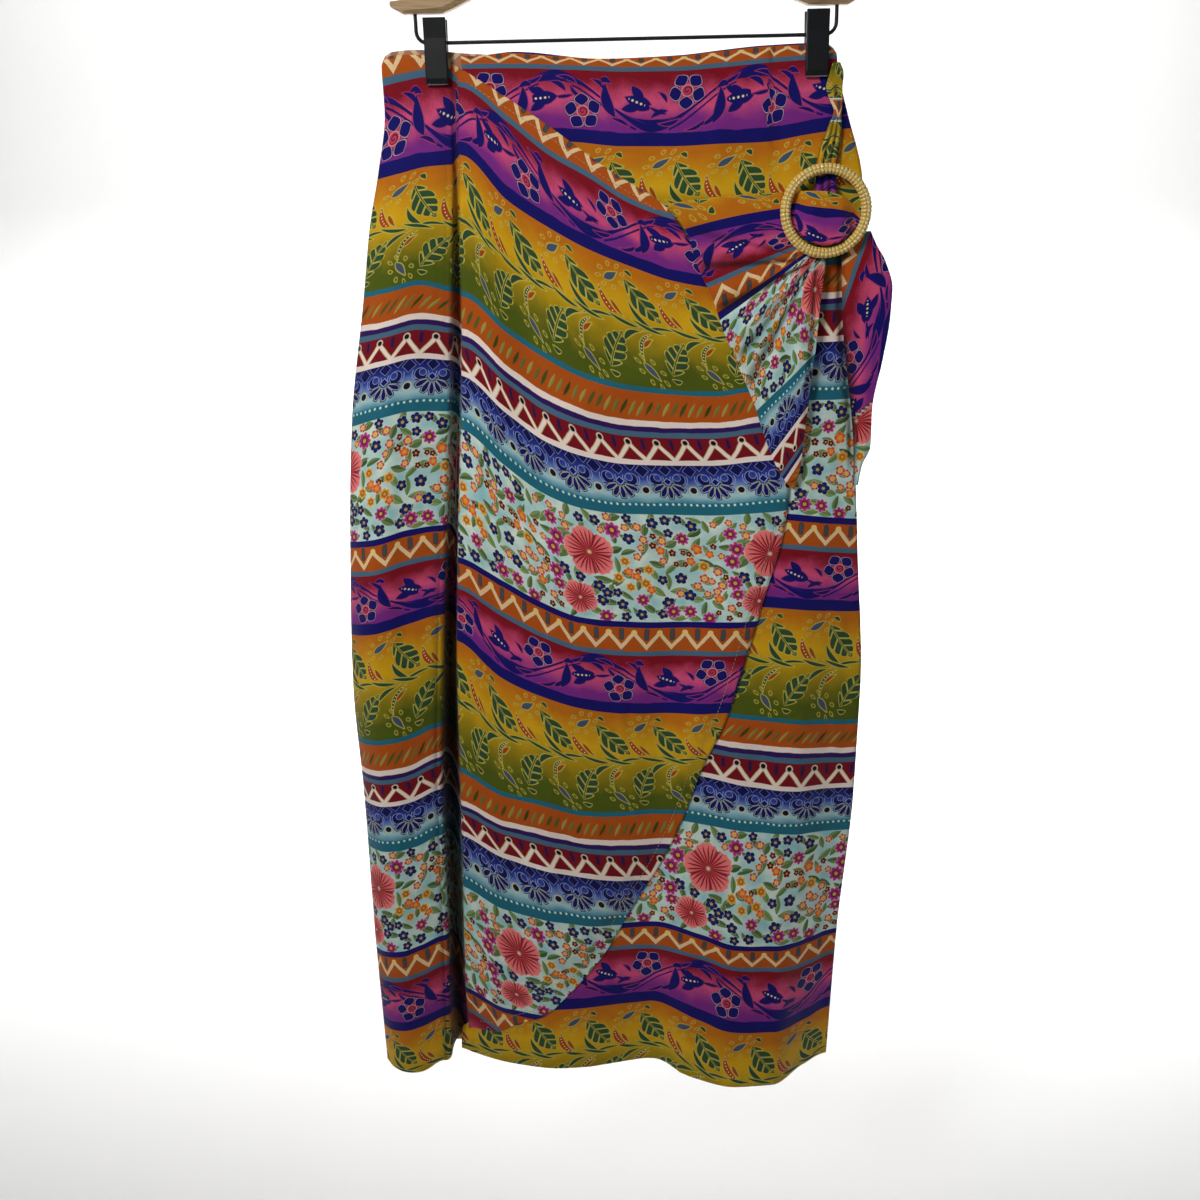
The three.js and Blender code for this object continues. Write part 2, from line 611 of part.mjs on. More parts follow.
// ---------------------------------------------------------------- hanger
// Wooden bar: lower and upper edge by distance from the middle.
const BAR_SHAPE = [
  { x: 0, low: -86, high: -60 },
  { x: 40, low: -89, high: -64 },
  { x: 80, low: -97, high: -74 },
  { x: 110, low: -107, high: -85 },
  { x: 132, low: -118, high: -97 },
  { x: 148, low: -123.5, high: -106 },
  { x: 178, low: -123.5, high: -113 },
  { x: 187, low: -118, high: -114 },
];
{
  const low = curve(BAR_SHAPE, "x", "low");
  const high = curve(BAR_SHAPE, "x", "high");
  const n = 36;
  const pts = [];
  const secs = [];
  steps(n).forEach((t) => {
    const x = lerp(-187, 187, t);
    const c = (low(Math.abs(x)) + high(Math.abs(x))) / 2;
    const h = (high(Math.abs(x)) - low(Math.abs(x))) / 2;
    pts.push(V(x, 0, c));
    secs.push(
      [
        [-0.55, -1], [0.55, -1], [1, -0.6], [1, 0.6], [0.55, 1], [-0.55, 1], [-1, 0.6], [-1, -0.6],
      ].map(([a, b]) => [(b * BAR_DEPTH) / 2, a * h]),
    );
  });
  const pos = [];
  pts.forEach((p, i) => secs[i].forEach(([dy, dz]) => pos.push(p.x, dy, p.z + dz)));
  const tris = [];
  const m = 8;
  for (let i = 0; i < n; i++)
    for (let j = 0; j < m; j++) {
      const k = (j + 1) % m;
      tris.push(i * m + j, i * m + k, (i + 1) * m + k, i * m + j, (i + 1) * m + k, (i + 1) * m + j);
    }
  for (let j = 1; j < m - 1; j++) {
    tris.push(0, j + 1, j);
    tris.push(n * m, n * m + j, n * m + j + 1);
  }
  const body = new THREE.BufferGeometry();
  body.setAttribute("position", new THREE.Float32BufferAttribute(pos, 3));
  body.setIndex(tris);
  let solid = asManifold(outward(body));
  // Holes for the hook's shank and the wire's two uprights.
  const hole = (x, r, z0, z1) => {
    const g0 = new THREE.CylinderGeometry(r, r, z1 - z0, 20).rotateX(Math.PI / 2);
    return asManifold(merged(g0.translate(x, 0, (z0 + z1) / 2)));
  };
  solid = solid.subtract(hole(0, HOOK_WIRE_R + GAP, -80, -50));
  solid = solid.subtract(hole(-WIRE_HALF, WIRE_R + GAP, -130, -116));
  solid = solid.subtract(hole(WIRE_HALF, WIRE_R + GAP, -130, -116));
  add(hanger, "hanger_bar", fromManifold(solid), 0xc9a878, 0.6);
}
{
  // Hook: straight shank, a bend to the right, over the top and down on the left.
  const c = V(0, 0, -HOOK_INSIDE_R);
  const r = HOOK_INSIDE_R + HOOK_WIRE_R;
  const pts = [V(0, 0, -79), V(0, 0, -66), V(0, 0, -56)];
  const start = -62;
  const bend = V(c.x + r * Math.cos((start * Math.PI) / 180), 0, c.z + r * Math.sin((start * Math.PI) / 180));
  pts.push(V(0.6, 0, -50), V(3.2, 0, -44.6), V(6.6, 0, -41.2));
  pts.push(bend);
  for (let a = start + 12; a <= 200; a += 13.1) {
    const q = (a * Math.PI) / 180;
    pts.push(V(c.x + r * Math.cos(q), 0, c.z + r * Math.sin(q)));
  }
  add(hanger, "hanger_hook", sweep(pts, pts.map(() => ellipse(HOOK_WIRE_R, HOOK_WIRE_R, 12))), 0xb8bcc0, 0.3);
}
{
  // Wire: two uprights from the bar, rounded corners and a level run that carries the clips.
  const pts = [];
  const rc = 9;
  const corner = (cx, a0, a1) => {
    for (let k = 0; k <= 5; k++) {
      const q = ((a0 + ((a1 - a0) * k) / 5) * Math.PI) / 180;
      pts.push(V(cx + rc * Math.cos(q), 0, WIRE_Z + rc + rc * Math.sin(q)));
    }
  };
  pts.push(V(-WIRE_HALF, 0, -116.6), V(-WIRE_HALF, 0, -126));
  corner(-WIRE_HALF + rc, 180, 270);
  pts.push(V(-60, 0, WIRE_Z), V(60, 0, WIRE_Z));
  corner(WIRE_HALF - rc, 270, 360);
  pts.push(V(WIRE_HALF, 0, -126), V(WIRE_HALF, 0, -116.6));
  add(hanger, "hanger_wire", sweep(pts, pts.map(() => ellipse(WIRE_R, WIRE_R, 12))), 0x2a2a2c, 0.4);
}
// Clips: two jaws each side of the wire with flared finger tabs, held by a steel spring.
const JAW = [
  { z: CLIP_BOTTOM, inner: 0, outer: 3.4 },
  { z: CLIP_BOTTOM + 4, inner: 0, outer: 4.6 },
  { z: -150, inner: 0, outer: JAW_THICK },
  { z: -142, inner: 0, outer: JAW_THICK },
  { z: -136, inner: 1.4, outer: JAW_THICK + 0.6 },
  { z: CLIP_TOP, inner: 3.6, outer: JAW_THICK + 1.6 },
];
function jaw(x, sign) {
  const pos = [];
  const half = CLIP_W / 2;
  JAW.forEach(({ z, inner, outer }) => {
    const a = sign * (JAW_FACE + inner);
    const b = sign * (JAW_FACE + outer);
    pos.push(x - half, a, z, x + half, a, z, x + half, b, z, x + half - 1, b + sign * 0.6, z, x - half + 1, b + sign * 0.6, z, x - half, b, z);
  });
  const n = JAW.length - 1;
  const m = 6;
  const tris = [];
  for (let i = 0; i < n; i++)
    for (let j = 0; j < m; j++) {
      const k = (j + 1) % m;
      tris.push(i * m + j, i * m + k, (i + 1) * m + k, i * m + j, (i + 1) * m + k, (i + 1) * m + j);
    }
  for (let j = 1; j < m - 1; j++) {
    tris.push(0, j + 1, j);
    tris.push(n * m, n * m + j, n * m + j + 1);
  }
  const g = new THREE.BufferGeometry();
  g.setAttribute("position", new THREE.Float32BufferAttribute(pos, 3));
  g.setIndex(tris);
  return g;
}
function spring(x) {
  // A steel strip bent over the wire, its legs between the finger tabs.
  const pts = [V(x, -2.2, -132.5), V(x, -2.1, -130), V(x, -1.5, -128.2), V(x, 0, -127.4), V(x, 1.5, -128.2), V(x, 2.1, -130), V(x, 2.2, -132.5)];
  const secs = pts.map(() => [[-4.5, -0.35], [4.5, -0.35], [4.5, 0.35], [-4.5, 0.35]]);
  const pos = [];
  pts.forEach((p, i) => {
    const t = new THREE.Vector3().subVectors(pts[Math.min(pts.length - 1, i + 1)], pts[Math.max(0, i - 1)]).normalize();
    const n = new THREE.Vector3().crossVectors(V(1, 0, 0), t).normalize();
    secs[i].forEach(([a, b]) => pos.push(p.x + a, p.y + n.y * b, p.z + n.z * b));
  });
  const m = 4;
  const k = pts.length - 1;
  const tris = [];
  for (let i = 0; i < k; i++)
    for (let j = 0; j < m; j++) {
      const q = (j + 1) % m;
      tris.push(i * m + j, i * m + q, (i + 1) * m + q, i * m + j, (i + 1) * m + q, (i + 1) * m + j);
    }
  tris.push(0, 2, 1, 0, 3, 2, k * m, k * m + 1, k * m + 2, k * m, k * m + 2, k * m + 3);
  const g = new THREE.BufferGeometry();
  g.setAttribute("position", new THREE.Float32BufferAttribute(pos, 3));
  g.setIndex(tris);
  return g;
}
[
  ["left", -CLIP_HALF_SPAN],
  ["right", CLIP_HALF_SPAN],
].forEach(([side, x]) => {
  add(hanger, `clip_${side}_front_jaw`, jaw(x, -1), 0x101418, 0.35);
  add(hanger, `clip_${side}_back_jaw`, jaw(x, 1), 0x101418, 0.35);
  add(hanger, `clip_${side}_spring`, spring(x), 0xb0b4b8, 0.3);
});

export default root;
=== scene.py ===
import bpy
import math
import numpy as np
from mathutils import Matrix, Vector


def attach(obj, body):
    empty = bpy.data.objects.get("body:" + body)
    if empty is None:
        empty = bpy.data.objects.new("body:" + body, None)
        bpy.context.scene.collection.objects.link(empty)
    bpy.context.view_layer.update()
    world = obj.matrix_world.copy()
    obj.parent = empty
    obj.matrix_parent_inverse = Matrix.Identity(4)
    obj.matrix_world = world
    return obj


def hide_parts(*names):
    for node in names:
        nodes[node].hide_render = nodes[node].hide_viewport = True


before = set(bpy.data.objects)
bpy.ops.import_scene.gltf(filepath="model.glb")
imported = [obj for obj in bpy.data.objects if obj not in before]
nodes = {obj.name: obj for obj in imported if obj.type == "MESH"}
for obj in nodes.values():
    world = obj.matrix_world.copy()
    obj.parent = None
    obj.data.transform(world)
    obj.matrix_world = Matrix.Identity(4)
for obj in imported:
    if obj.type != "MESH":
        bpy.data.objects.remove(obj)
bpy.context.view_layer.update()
rng = np.random.default_rng(411)

# ------------------------------------------------------------------ sizes, in millimetres
THREAD = 0.42  # thickness of the woven cloth
HALF_SEAM = 0.3
CLOTH = 1.2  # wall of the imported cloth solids, which the looks follow
GAP = 0.3
LIP_RADIUS = 5.5
ROW_STEP = 4.0  # height of a mesh row, measured along the cloth
REPEAT_V = 412.0  # the print's repeat down the cloth
REPEAT_U = 160.0  # and across it

OUTLINE = """
z left lipL lipR right
-153 -188 -140 -133 172
-166 -194 -139 -132.5 173.5
-200 -193 -138.5 -132.5 183
-245 -200 -138.5 -133 197
-290 -209.5 -140 -134.5 202.5
-350 -218 -142 -135 204
-450 -233 -147 -138.5 204.5
-560 -240.5 -153.5 -144 212
-700 -245 -161 -148.5 222.5
-800 -240.5 -164 -148.5 222
-950 -237 -164 -149.5 213.5
-1095 -231 -165 -150 210"""
DEPTHS = """
z seamL crown lip fold seamR
-153 0 0 0 0.2 0
-184 0 0 0 0.3 0
-233 0 -4 -3 3 0
-300 0.5 -9 -6 8 1.5
-450 1.5 -17 -9 16 4
-600 2 -21 -11 21 6
-800 3 -23 -12 26 8
-1000 3 -19 -9 24 10
-1095 2 -16 -7 22 11"""
UNDER_DEPTH = """
x top thigh knee calf hem
-150 0 4 7 8 13
-105 -0.3 3 4 4 -3
-60 -0.8 1 1 -2 -10
-20 -1.5 -1 -2 -5 -8
30 -1.8 -3 -3 -4 -2
75 -1 -4 -5 -12 -25
115 -0.2 -4 -8 -18 -36
150 0 -3 -7 -15 -34
185 0 -0.5 -1 -3 -2
212 0 2 5 8 11"""
CLEARANCE = """
x top thigh knee calf hem
-150 0 6 13 15 17
-100 0 6 14 17 8
-45 0 6 12 14 4
10 0 4 8 7 2
70 0 3 4 3 2
150 0 1 2 2 2"""
LEVELS = {"top": -155, "thigh": -350, "knee": -600, "calf": -850, "hem": -1095}
UNDER_WAIST = """
x z
-142 -154
-121 -158
-86 -154.7
-18 -160
43 -157.6
82 -153.2
113 -150
160 -148
175 -160"""
BACK_WAIST = """
x z
-196 -164
-187 -155
-165 -153
-120 -156
0 -160
110 -152
165 -149
176 -160"""
OVERLAP_WAIST = """
x z
-196 -166
-186 -157.5
-165 -157
-145 -160
-132.7 -166
-102.6 -183.7
-59.4 -211
-13 -243.4
37.3 -274.7
45 -284
65.5 -318
76 -340.5
96 -366
122.7 -415
140 -462
147 -508"""
FREE_EDGE = """
x z
-150 -1060
-121.5 -1058.3
-98.6 -1046
-74 -1035.7
-51 -1013.3
-14 -967
18 -908
39.7 -870
60.6 -820
75.5 -773.7
97.2 -722.3
117.8 -649.3
130.4 -600.8
142.1 -556.9
147 -524"""
HEM = """
x z
-240 -1087
-225 -1093
-186 -1094
-163 -1085
-145 -1090
-90 -1093
50 -1092.5
110 -1096
170 -1095
215 -1090"""
UNDER_LEFT = """
z x
-153 -130
-233 -126
-450 -130
-700 -138
-1000 -141
-1050 -143
-1062 -156
-1095 -158"""
BACK_DEPTH = """
z y
-155 0
-188 0
-240 5
-350 12
-600 18
-850 23
-1095 24"""

# Height at which a crosswise thread v (mm down the print) lies, at stations across each panel.
# Overlap stations: 0 to 1 is the left tube, 1 to 2 the deep fold, 2 to 3 the lapped front.
OVERLAP_WEFT = """
v 0 0.3 0.65 1 2 2.14 2.26 2.38 2.5 2.63 2.76 2.89 3
0 -180.5 -176.8 -173.6 -174.6 -180.9 -207.7 -233.2 -251.4 -271.2 -283.7 -290.5 -297.2 -302.8
61 -252.2 -247.7 -242.4 -240.5 -232.9 -268.5 -289.7 -307.5 -320.8 -333 -339.2 -343.2 -346.5
163 -345 -339.9 -334 -339.5 -342.9 -373.4 -395.1 -411.4 -420.4 -424.7 -426.6 -421.6 -418.7
190 -373.9 -368.3 -361.9 -365.7 -375.4 -406.4 -429.6 -443.2 -451.1 -453.7 -454.3 -449.2 -446.2
273 -456.4 -447.1 -440.9 -441.7 -457.2 -488.6 -513 -525.5 -530.6 -531.5 -532.5 -530.2 -528
380 -561.6 -554.9 -546.6 -543.6 -572.7 -593.7 -612.9 -626.7 -631 -632.5 -632 -631.6 -631.4
473 -645.5 -638 -629.5 -622.7 -647.8 -681.8 -698 -709.5 -715.4 -717.1 -716.1 -715.3 -714.8
575 -747.2 -741.2 -736.4 -726.9 -772.5 -795.2 -801.9 -812.1 -814.9 -815 -814.7 -814.5 -814.4
602 -777.3 -772.3 -767.6 -756.9 -806.6 -826 -832.5 -840.8 -845.3 -847.1 -847.1 -847.2 -847.2
635.5 -807.1 -802.8 -798.4 -789 -836.9 -858.9 -868.2 -875.2 -881.5 -886.9 -890.8 -894.8 -898.2
685 -855.9 -851.5 -847.5 -837.9 -893 -915.2 -922.5 -929 -935.6 -940.3 -944.9 -949.6 -953.6
792 -968.3 -961.2 -955.5 -947.4 -1006.3 -1031.2 -1036.8 -1036.9 -1037 -1037.1 -1037.2 -1037.3 -1037.3
885 -1051.2 -1046.3 -1041.6 -1033.9 -1099 -1124 -1130 -1130 -1130 -1130 -1130 -1130 -1130"""
UNDER_WEFT = """
v -140 -90 -40 0 40 80 115 150 180 210
-33 -153.8 -154.5 -157.7 -158.7 -157.1 -152.8 -149.3 -147.8 -146.8 -146
-4 -164.6 -164.0 -165.3 -166.7 -166.3 -163.4 -160.0 -157.6 -156.3 -155.1
0 -167.6 -167 -168.3 -169.7 -169.3 -166.4 -163 -160.6 -159.3 -158.1
61 -220.8 -221.7 -223 -226.5 -226.5 -224.6 -223.2 -217.5 -213.1 -210.1
190 -345.7 -345.8 -345.9 -346 -346.1 -346.2 -346.3 -346.3 -345.6 -341.2
273 -430 -430.5 -430.9 -431.2 -431.5 -431.8 -432.1 -432.4 -432.8 -431.5
380 -513.8 -517.4 -521 -523.9 -526.8 -529.6 -532.2 -534.7 -538.3 -541.8
473 -600.1 -603.1 -606.1 -608.5 -611 -613.4 -615.5 -618.5 -621.5 -624.5
575 -699.7 -703.4 -707.2 -710.2 -713.2 -716.2 -719.7 -724.1 -727.9 -731.6
602 -727.6 -731.5 -735.3 -738.4 -741.4 -744.5 -748.6 -753.1 -756.9 -760.8
635.5 -756 -760 -763 -767.6 -771.7 -777.2 -784.6 -790.5 -793.3 -796.1
683 -808 -811.8 -815.5 -818.5 -821.5 -825.3 -829.7 -834 -837.3 -840.7
792 -940 -940 -940 -938 -935.9 -943 -950.6 -953.1 -953.3 -951.8
824 -970 -968 -966 -964 -962.9 -966.1 -973.8 -977 -980.4 -977.4
885 -1032 -1030 -1027 -1024 -1021.9 -1030.6 -1037.9 -1039.5 -1041.4 -1036.6"""
# Where the print's sideways repeat starts, by v: on the tube, the lap, the under panel.
PRINT_SHIFT = """
v tube lap under
0 -10 -56 36
25 -10 -62 37
320 -18 -150 44
437 -25 -158 48
732 -40 -239 54
950 -46 -290 58"""


def table(text):
    lines = [ln.split() for ln in text.strip().splitlines()]
    return {h: np.array([float(ln[i]) for ln in lines[1:]]) for i, h in enumerate(lines[0])}


def slopes(x, y):
    """Slopes of a curve that never overshoots its points; the first axis runs along x."""
    d = np.diff(y, axis=0) / np.diff(x).reshape(-1, *[1] * (y.ndim - 1))
    m = np.empty_like(y)
    m[0], m[-1] = d[0], d[-1]
    p = d[:-1] * d[1:]
    m[1:-1] = np.where(p > 0, 2 * p / np.where(p > 0, d[:-1] + d[1:], 1), 0)
    return m


def hermite(y0, y1, m0, m1, h, t):
    return (
        (1 + 2 * t) * (1 - t) ** 2 * y0
        + t * (1 - t) ** 2 * h * m0
        + t * t * (3 - 2 * t) * y1
        + t * t * (t - 1) * h * m1
    )


def curve(tab, xk, yk):
    if isinstance(tab, str):
        tab = table(tab)
    order = np.argsort(tab[xk])
    px, py = tab[xk][order], tab[yk][order]
    m = slopes(px, py)

    def f(x):
        xc = np.clip(np.asarray(x, float), px[0], px[-1])
        i = np.clip(np.searchsorted(px, xc, side="right") - 1, 0, len(px) - 2)
        h = px[i + 1] - px[i]
        return hermite(py[i], py[i + 1], m[i], m[i + 1], h, (xc - px[i]) / h)

    return f


def surface(xs, across, extend=False):
    """A smooth surface: across[k] is the curve at xs[k], and points between are blended along xs."""
    xs = np.asarray(xs, float)

    def f(a, b):
        a, b = np.broadcast_arrays(np.asarray(a, float), np.asarray(b, float))
        y = np.stack([g(a) for g in across])
        m = slopes(xs, y)
        bc = np.clip(b, xs[0], xs[-1])
        i = np.clip(np.searchsorted(xs, bc, side="right") - 1, 0, len(xs) - 2)
        take = lambda q, k: np.take_along_axis(q, k[None], 0)[0]
        h = xs[i + 1] - xs[i]
        out = hermite(take(y, i), take(y, i + 1), take(m, i), take(m, i + 1), h, (bc - xs[i]) / h)
        if extend:
            out = out + np.where(b < xs[0], (b - xs[0]) * m[0], 0) + np.where(b > xs[-1], (b - xs[-1]) * m[-1], 0)
        return out

    return f


def field(text):
    tab = table(text)
    keys = sorted(LEVELS, key=lambda k: LEVELS[k])
    return surface([LEVELS[k] for k in keys], [curve(tab, "x", k) for k in keys])


def weft(text):
    tab = table(text)
    stations = [k for k in tab if k != "v"]
    at = np.array([float(k) for k in stations])
    vs = tab["v"]
    rows = [{"x": at, "z": np.array([tab[k][i] for k in stations])} for i in range(len(vs))]
    return surface(vs, [curve(r, "x", "z") for r in rows], extend=True)


def smooth(t):
    c = np.clip(t, 0, 1)
    return c * c * (3 - 2 * c)


def mixed(a, b, t):
    return a + (b - a) * t


left_at, right_at, lipl_at, lipr_at = (curve(OUTLINE, "z", k) for k in ("left", "right", "lipL", "lipR"))
seaml_at, seamr_at, crown_at, lip_at, fold_at = (
    curve(DEPTHS, "z", k) for k in ("seamL", "seamR", "crown", "lip", "fold")
)
under_raw, clear_raw = field(UNDER_DEPTH), field(CLEARANCE)
under_top, back_top, over_top = (curve(t, "x", "z") for t in (UNDER_WAIST, BACK_WAIST, OVERLAP_WAIST))
free_edge, hem_at = curve(FREE_EDGE, "x", "z"), curve(HEM, "x", "z")
under_left, back_depth = curve(UNDER_LEFT, "z", "x"), curve(BACK_DEPTH, "z", "y")
shift_tube, shift_lap, shift_under = (curve(PRINT_SHIFT, "v", k) for k in ("tube", "lap", "under"))
overlap_weft, under_weft = weft(OVERLAP_WEFT), weft(UNDER_WEFT)


def front_under(x, z):
    return under_raw(x, z) - HALF_SEAM - CLOTH


def front_over(x, z):
    extra = clear_raw(x, z) * smooth(np.clip((z - free_edge(x)) / 60, 0, 1))
    lap = smooth((x - lipr_at(z)) / 8)
    return front_under(x, z) - (CLOTH * 1.15 + GAP + 0.4) * lap - extra


def tube_depth(q, z):
    rise = 1 - np.power(1 - np.clip(q / 0.5, 0, 1), 2.3)
    fall = smooth((q - 0.45) / 0.55)
    y = mixed(mixed(seaml_at(z), crown_at(z), rise), lip_at(z), fall)
    return y - HALF_SEAM - CLOTH


def fold_point(q, z):
    """Through the deep fold: q 0 is the left lip's start, 1 the right lip's end."""
    l, r, d = lipl_at(z), lipr_at(z), fold_at(z)
    w = (r - l) / 2
    yl = lip_at(z) - HALF_SEAM - CLOTH
    yr = front_over(r + LIP_RADIUS, z)
    lip = np.minimum(LIP_RADIUS, d * 0.4)
    bottom = np.minimum(np.maximum(yl, yr) + d, 18)
    a = np.clip(q / 0.3, 0, 1) * math.pi / 2
    b = np.clip((1 - q) / 0.3, 0, 1) * math.pi / 2
    c = np.clip((q - 0.3) / 0.4, 0, 1) * math.pi
    x = np.where(
        q < 0.3,
        l - LIP_RADIUS + LIP_RADIUS * np.sin(a),
        np.where(q > 0.7, r + LIP_RADIUS - LIP_RADIUS * np.sin(b), (l + r) / 2 - w * np.cos(c)),
    )
    y0 = np.where(q < 0.5, yl + lip, yr + lip)
    y = np.where(
        q < 0.3,
        yl + lip * (1 - np.cos(a)),
        np.where(q > 0.7, yr + lip * (1 - np.cos(b)), mixed(y0, bottom, np.power(np.sin(c), 0.9))),
    )
    return x, y


# ------------------------------------------------------------------ soft creases
# Each is a straight trough (height above 0, away from the viewer) or ridge (below 0) that
# fades at both ends. All front layers share them, so none cuts through the next.
CREASES = """
x0 z0 x1 z1 width height
-20 -262 128 -268 5 -1.3
-50 -262 126 -276 6 1.2
30 -300 140 -276 6 -1.2
40 -318 146 -282 5 1.0
-110 -330 60 -300 9 -1.0
-60 -420 120 -330 10 1.3
-100 -470 100 -372 12 -1.6
-60 -560 140 -470 14 1.4
-120 -200 -100 -520 12 -1.4
-84 -240 -70 -640 14 1.6
-126 -300 -124 -900 5 -1.0
-2 -640 4 -800 4 -1.0
6 -660 10 -780 4 0.9
60 -560 20 -900 15 1.8
90 -600 60 -820 12 -1.6
-60 -700 -70 -1030 14 -2.0
-100 -760 -104 -1040 11 1.6
130 -700 142 -1080 10 1.6
166 -560 176 -1085 9 -1.8
192 -420 196 -1080 7 1.4
100 -900 96 -1094 12 -2.0
40 -960 36 -1094 12 1.8
-180 -300 -196 -760 7 1.4
-212 -420 -222 -980 6 -1.2
-196 -760 -196 -1080 6 1.2
30 -170 20 -250 9 0.8
80 -170 74 -262 7 -0.8
128 -160 132 -300 5 0.9
150 -190 165 -420 6 1.0
-150 -180 -158 -400 6 -0.8"""
_cr = table(CREASES)


def creases(x, z, share=1.0):
    out = np.zeros(np.shape(x))
    for x0, z0, x1, z1, w, h in zip(*(_cr[k] for k in ("x0", "z0", "x1", "z1", "width", "height"))):
        dx, dz = x1 - x0, z1 - z0
        n2 = dx * dx + dz * dz
        t = ((x - x0) * dx + (z - z0) * dz) / n2
        off = ((x - x0) * dz - (z - z0) * dx) / math.sqrt(n2)
        off = off + 2.2 * np.sin(t * 5 + x0)
        out += h * np.exp(-((off / w) ** 2)) * smooth(t / 0.3) * smooth((1 - t) / 0.3)
    out += 0.5 * np.sin(x / 23 + z / 61 + 0.6 * np.sin(z / 47)) + 0.35 * np.sin(x / 13 - z / 83 + 2)
    out += 0.22 * np.sin(z / 17 + 1.7 * np.sin(x / 39)) * np.sin(x / 31 + 1)
    return out * share * smooth((-z - 172) / 50)

# ------------------------------------------------------------------ the print's layout
# One repeat of the print is 160 mm across and 412 mm down: v 0 is the lower edge of a steel-blue
# line. Bands by v: vine, leaf sprays, dashes, zigzag, scrolls and fans, small flowers, zigzag.
BANDS = [
    ("vine", 0, 61),
    ("leaf", 61, 165.5),
    ("dash", 165.5, 201),
    ("peaks", 201, 226),
    ("fans", 226, 273),
    ("floral", 273, 377),
    ("zigzag", 377, 412),
]


def srgb(*c):
    return tuple(((x / 255 + 0.055) / 1.055) ** 2.4 if x > 10 else x / 255 / 12.92 for x in c)


NAVY = srgb(20, 12, 116)
CREAM = srgb(240, 218, 176)
WHITE = srgb(238, 224, 214)
ORANGE = srgb(196, 104, 18)
STEEL = srgb(88, 120, 142)
CRIMSON = srgb(142, 8, 40)
PINK = srgb(218, 98, 138)
PURPLE = srgb(136, 54, 144)
YELLOW = srgb(216, 174, 18)
AMBER = srgb(196, 122, 12)
OLIVE = srgb(94, 106, 16)
LEAF = srgb(58, 90, 62)
LINE = srgb(198, 186, 92)
TEAL = srgb(44, 120, 138)
VIOLET = srgb(62, 26, 104)
BLUE = srgb(74, 94, 176)
AQUA = srgb(188, 214, 212)
CORAL = srgb(226, 88, 98)
MAGENTA = srgb(160, 36, 104)
RUST = srgb(178, 84, 10)
SLATE = srgb(84, 98, 122)
GREEN = srgb(96, 124, 66)
DEEP_RED = srgb(120, 14, 28)
GOLD = srgb(232, 170, 40)

ELEMENTS = {name: {"A": [], "B": [], "C": [], "D": []} for name, _, _ in BANDS}


def put(band, layer, u, v, size, angle=0.0, shape=(0, 0, 0), colour=(0, 0, 0), detail=(0, 0, 0), round_=False):
    """One motif: size is (half length, half width, bend) or, for a round one, (radius, inner share, petals).
    shape's first value is the taper, detail holds switches that the band's own material reads."""
    ELEMENTS[band][layer].append(
        {"u": u % REPEAT_U, "v": v, "a": math.radians(angle), "s": size, "k": shape, "c": colour, "q": detail, "round": round_}
    )


# Vine: a low and a high flower in each repeat, with a bud and a scroll leaf after each.
for u, v, turn in ((0, 35, 10), (84, 17, -14)):
    put("vine", "A", u, v, (15.5, 0.3, 5), turn, (0, 0, 0), NAVY, (1, 0, 0), round_=True)
for u, v, turn in ((45, 26, 22), (127, 25, -8)):
    ca, sa = math.cos(math.radians(turn)), math.sin(math.radians(turn))
    put("vine", "B", u, v, (12.5, 5.8, 0.4), turn, (0.25, 0, 0), NAVY, (1, 0, 0))
    for side in (1, -1):
        dx, dy = -3.2, 4.6 * side
        put("vine", "C", u + dx * ca - dy * sa, v + dx * sa + dy * ca, (9.6, 3.8, 1.0 * side), turn - 36 * side, (-0.15, 0, 0), NAVY)
    put("vine", "B", u + 17 * ca, v + 17 * sa, (8.5, 1.5, 0.8), turn, (0.2, 0, 0), NAVY)
for u, v, turn, side in ((22, 24, 72, 1), (108, 30, 100, -1)):
    put("vine", "B", u, v, (15, 4.2, 3.4 * side), turn, (0.25, 0, 0), NAVY)
    put("vine", "C", u - 5.5 * side, v - 13.5, (6, 2.6, -3.2 * side), turn - 70 * side, (0, 0, 0), NAVY)
for u, v, length, width, bend, turn in (
    (62, 36, 8, 2.2, -2, -24), (70, 41, 9, 1.8, 2, -12), (101, 40, 9, 1.9, 3, -36), (92, 44, 10, 1.6, 2.6, -26),
    (146, 9, 9, 1.9, -2, 20), (139, 15, 8, 2.2, -2.5, 30), (12, 13, 9, 1.9, -2.6, 40), (154, 18, 8, 1.6, 2, 48),
    (30, 42, 9, 1.5, -1.5, 22), (118, 10, 9, 1.7, 1.6, -28), (64, 22, 6, 1.6, -1.6, 48), (2, 55, 0.1, 0.1, 0, 0),
):
    put("vine", "C", u, v, (length, width, bend), turn, (0.2, 0, 0), NAVY)

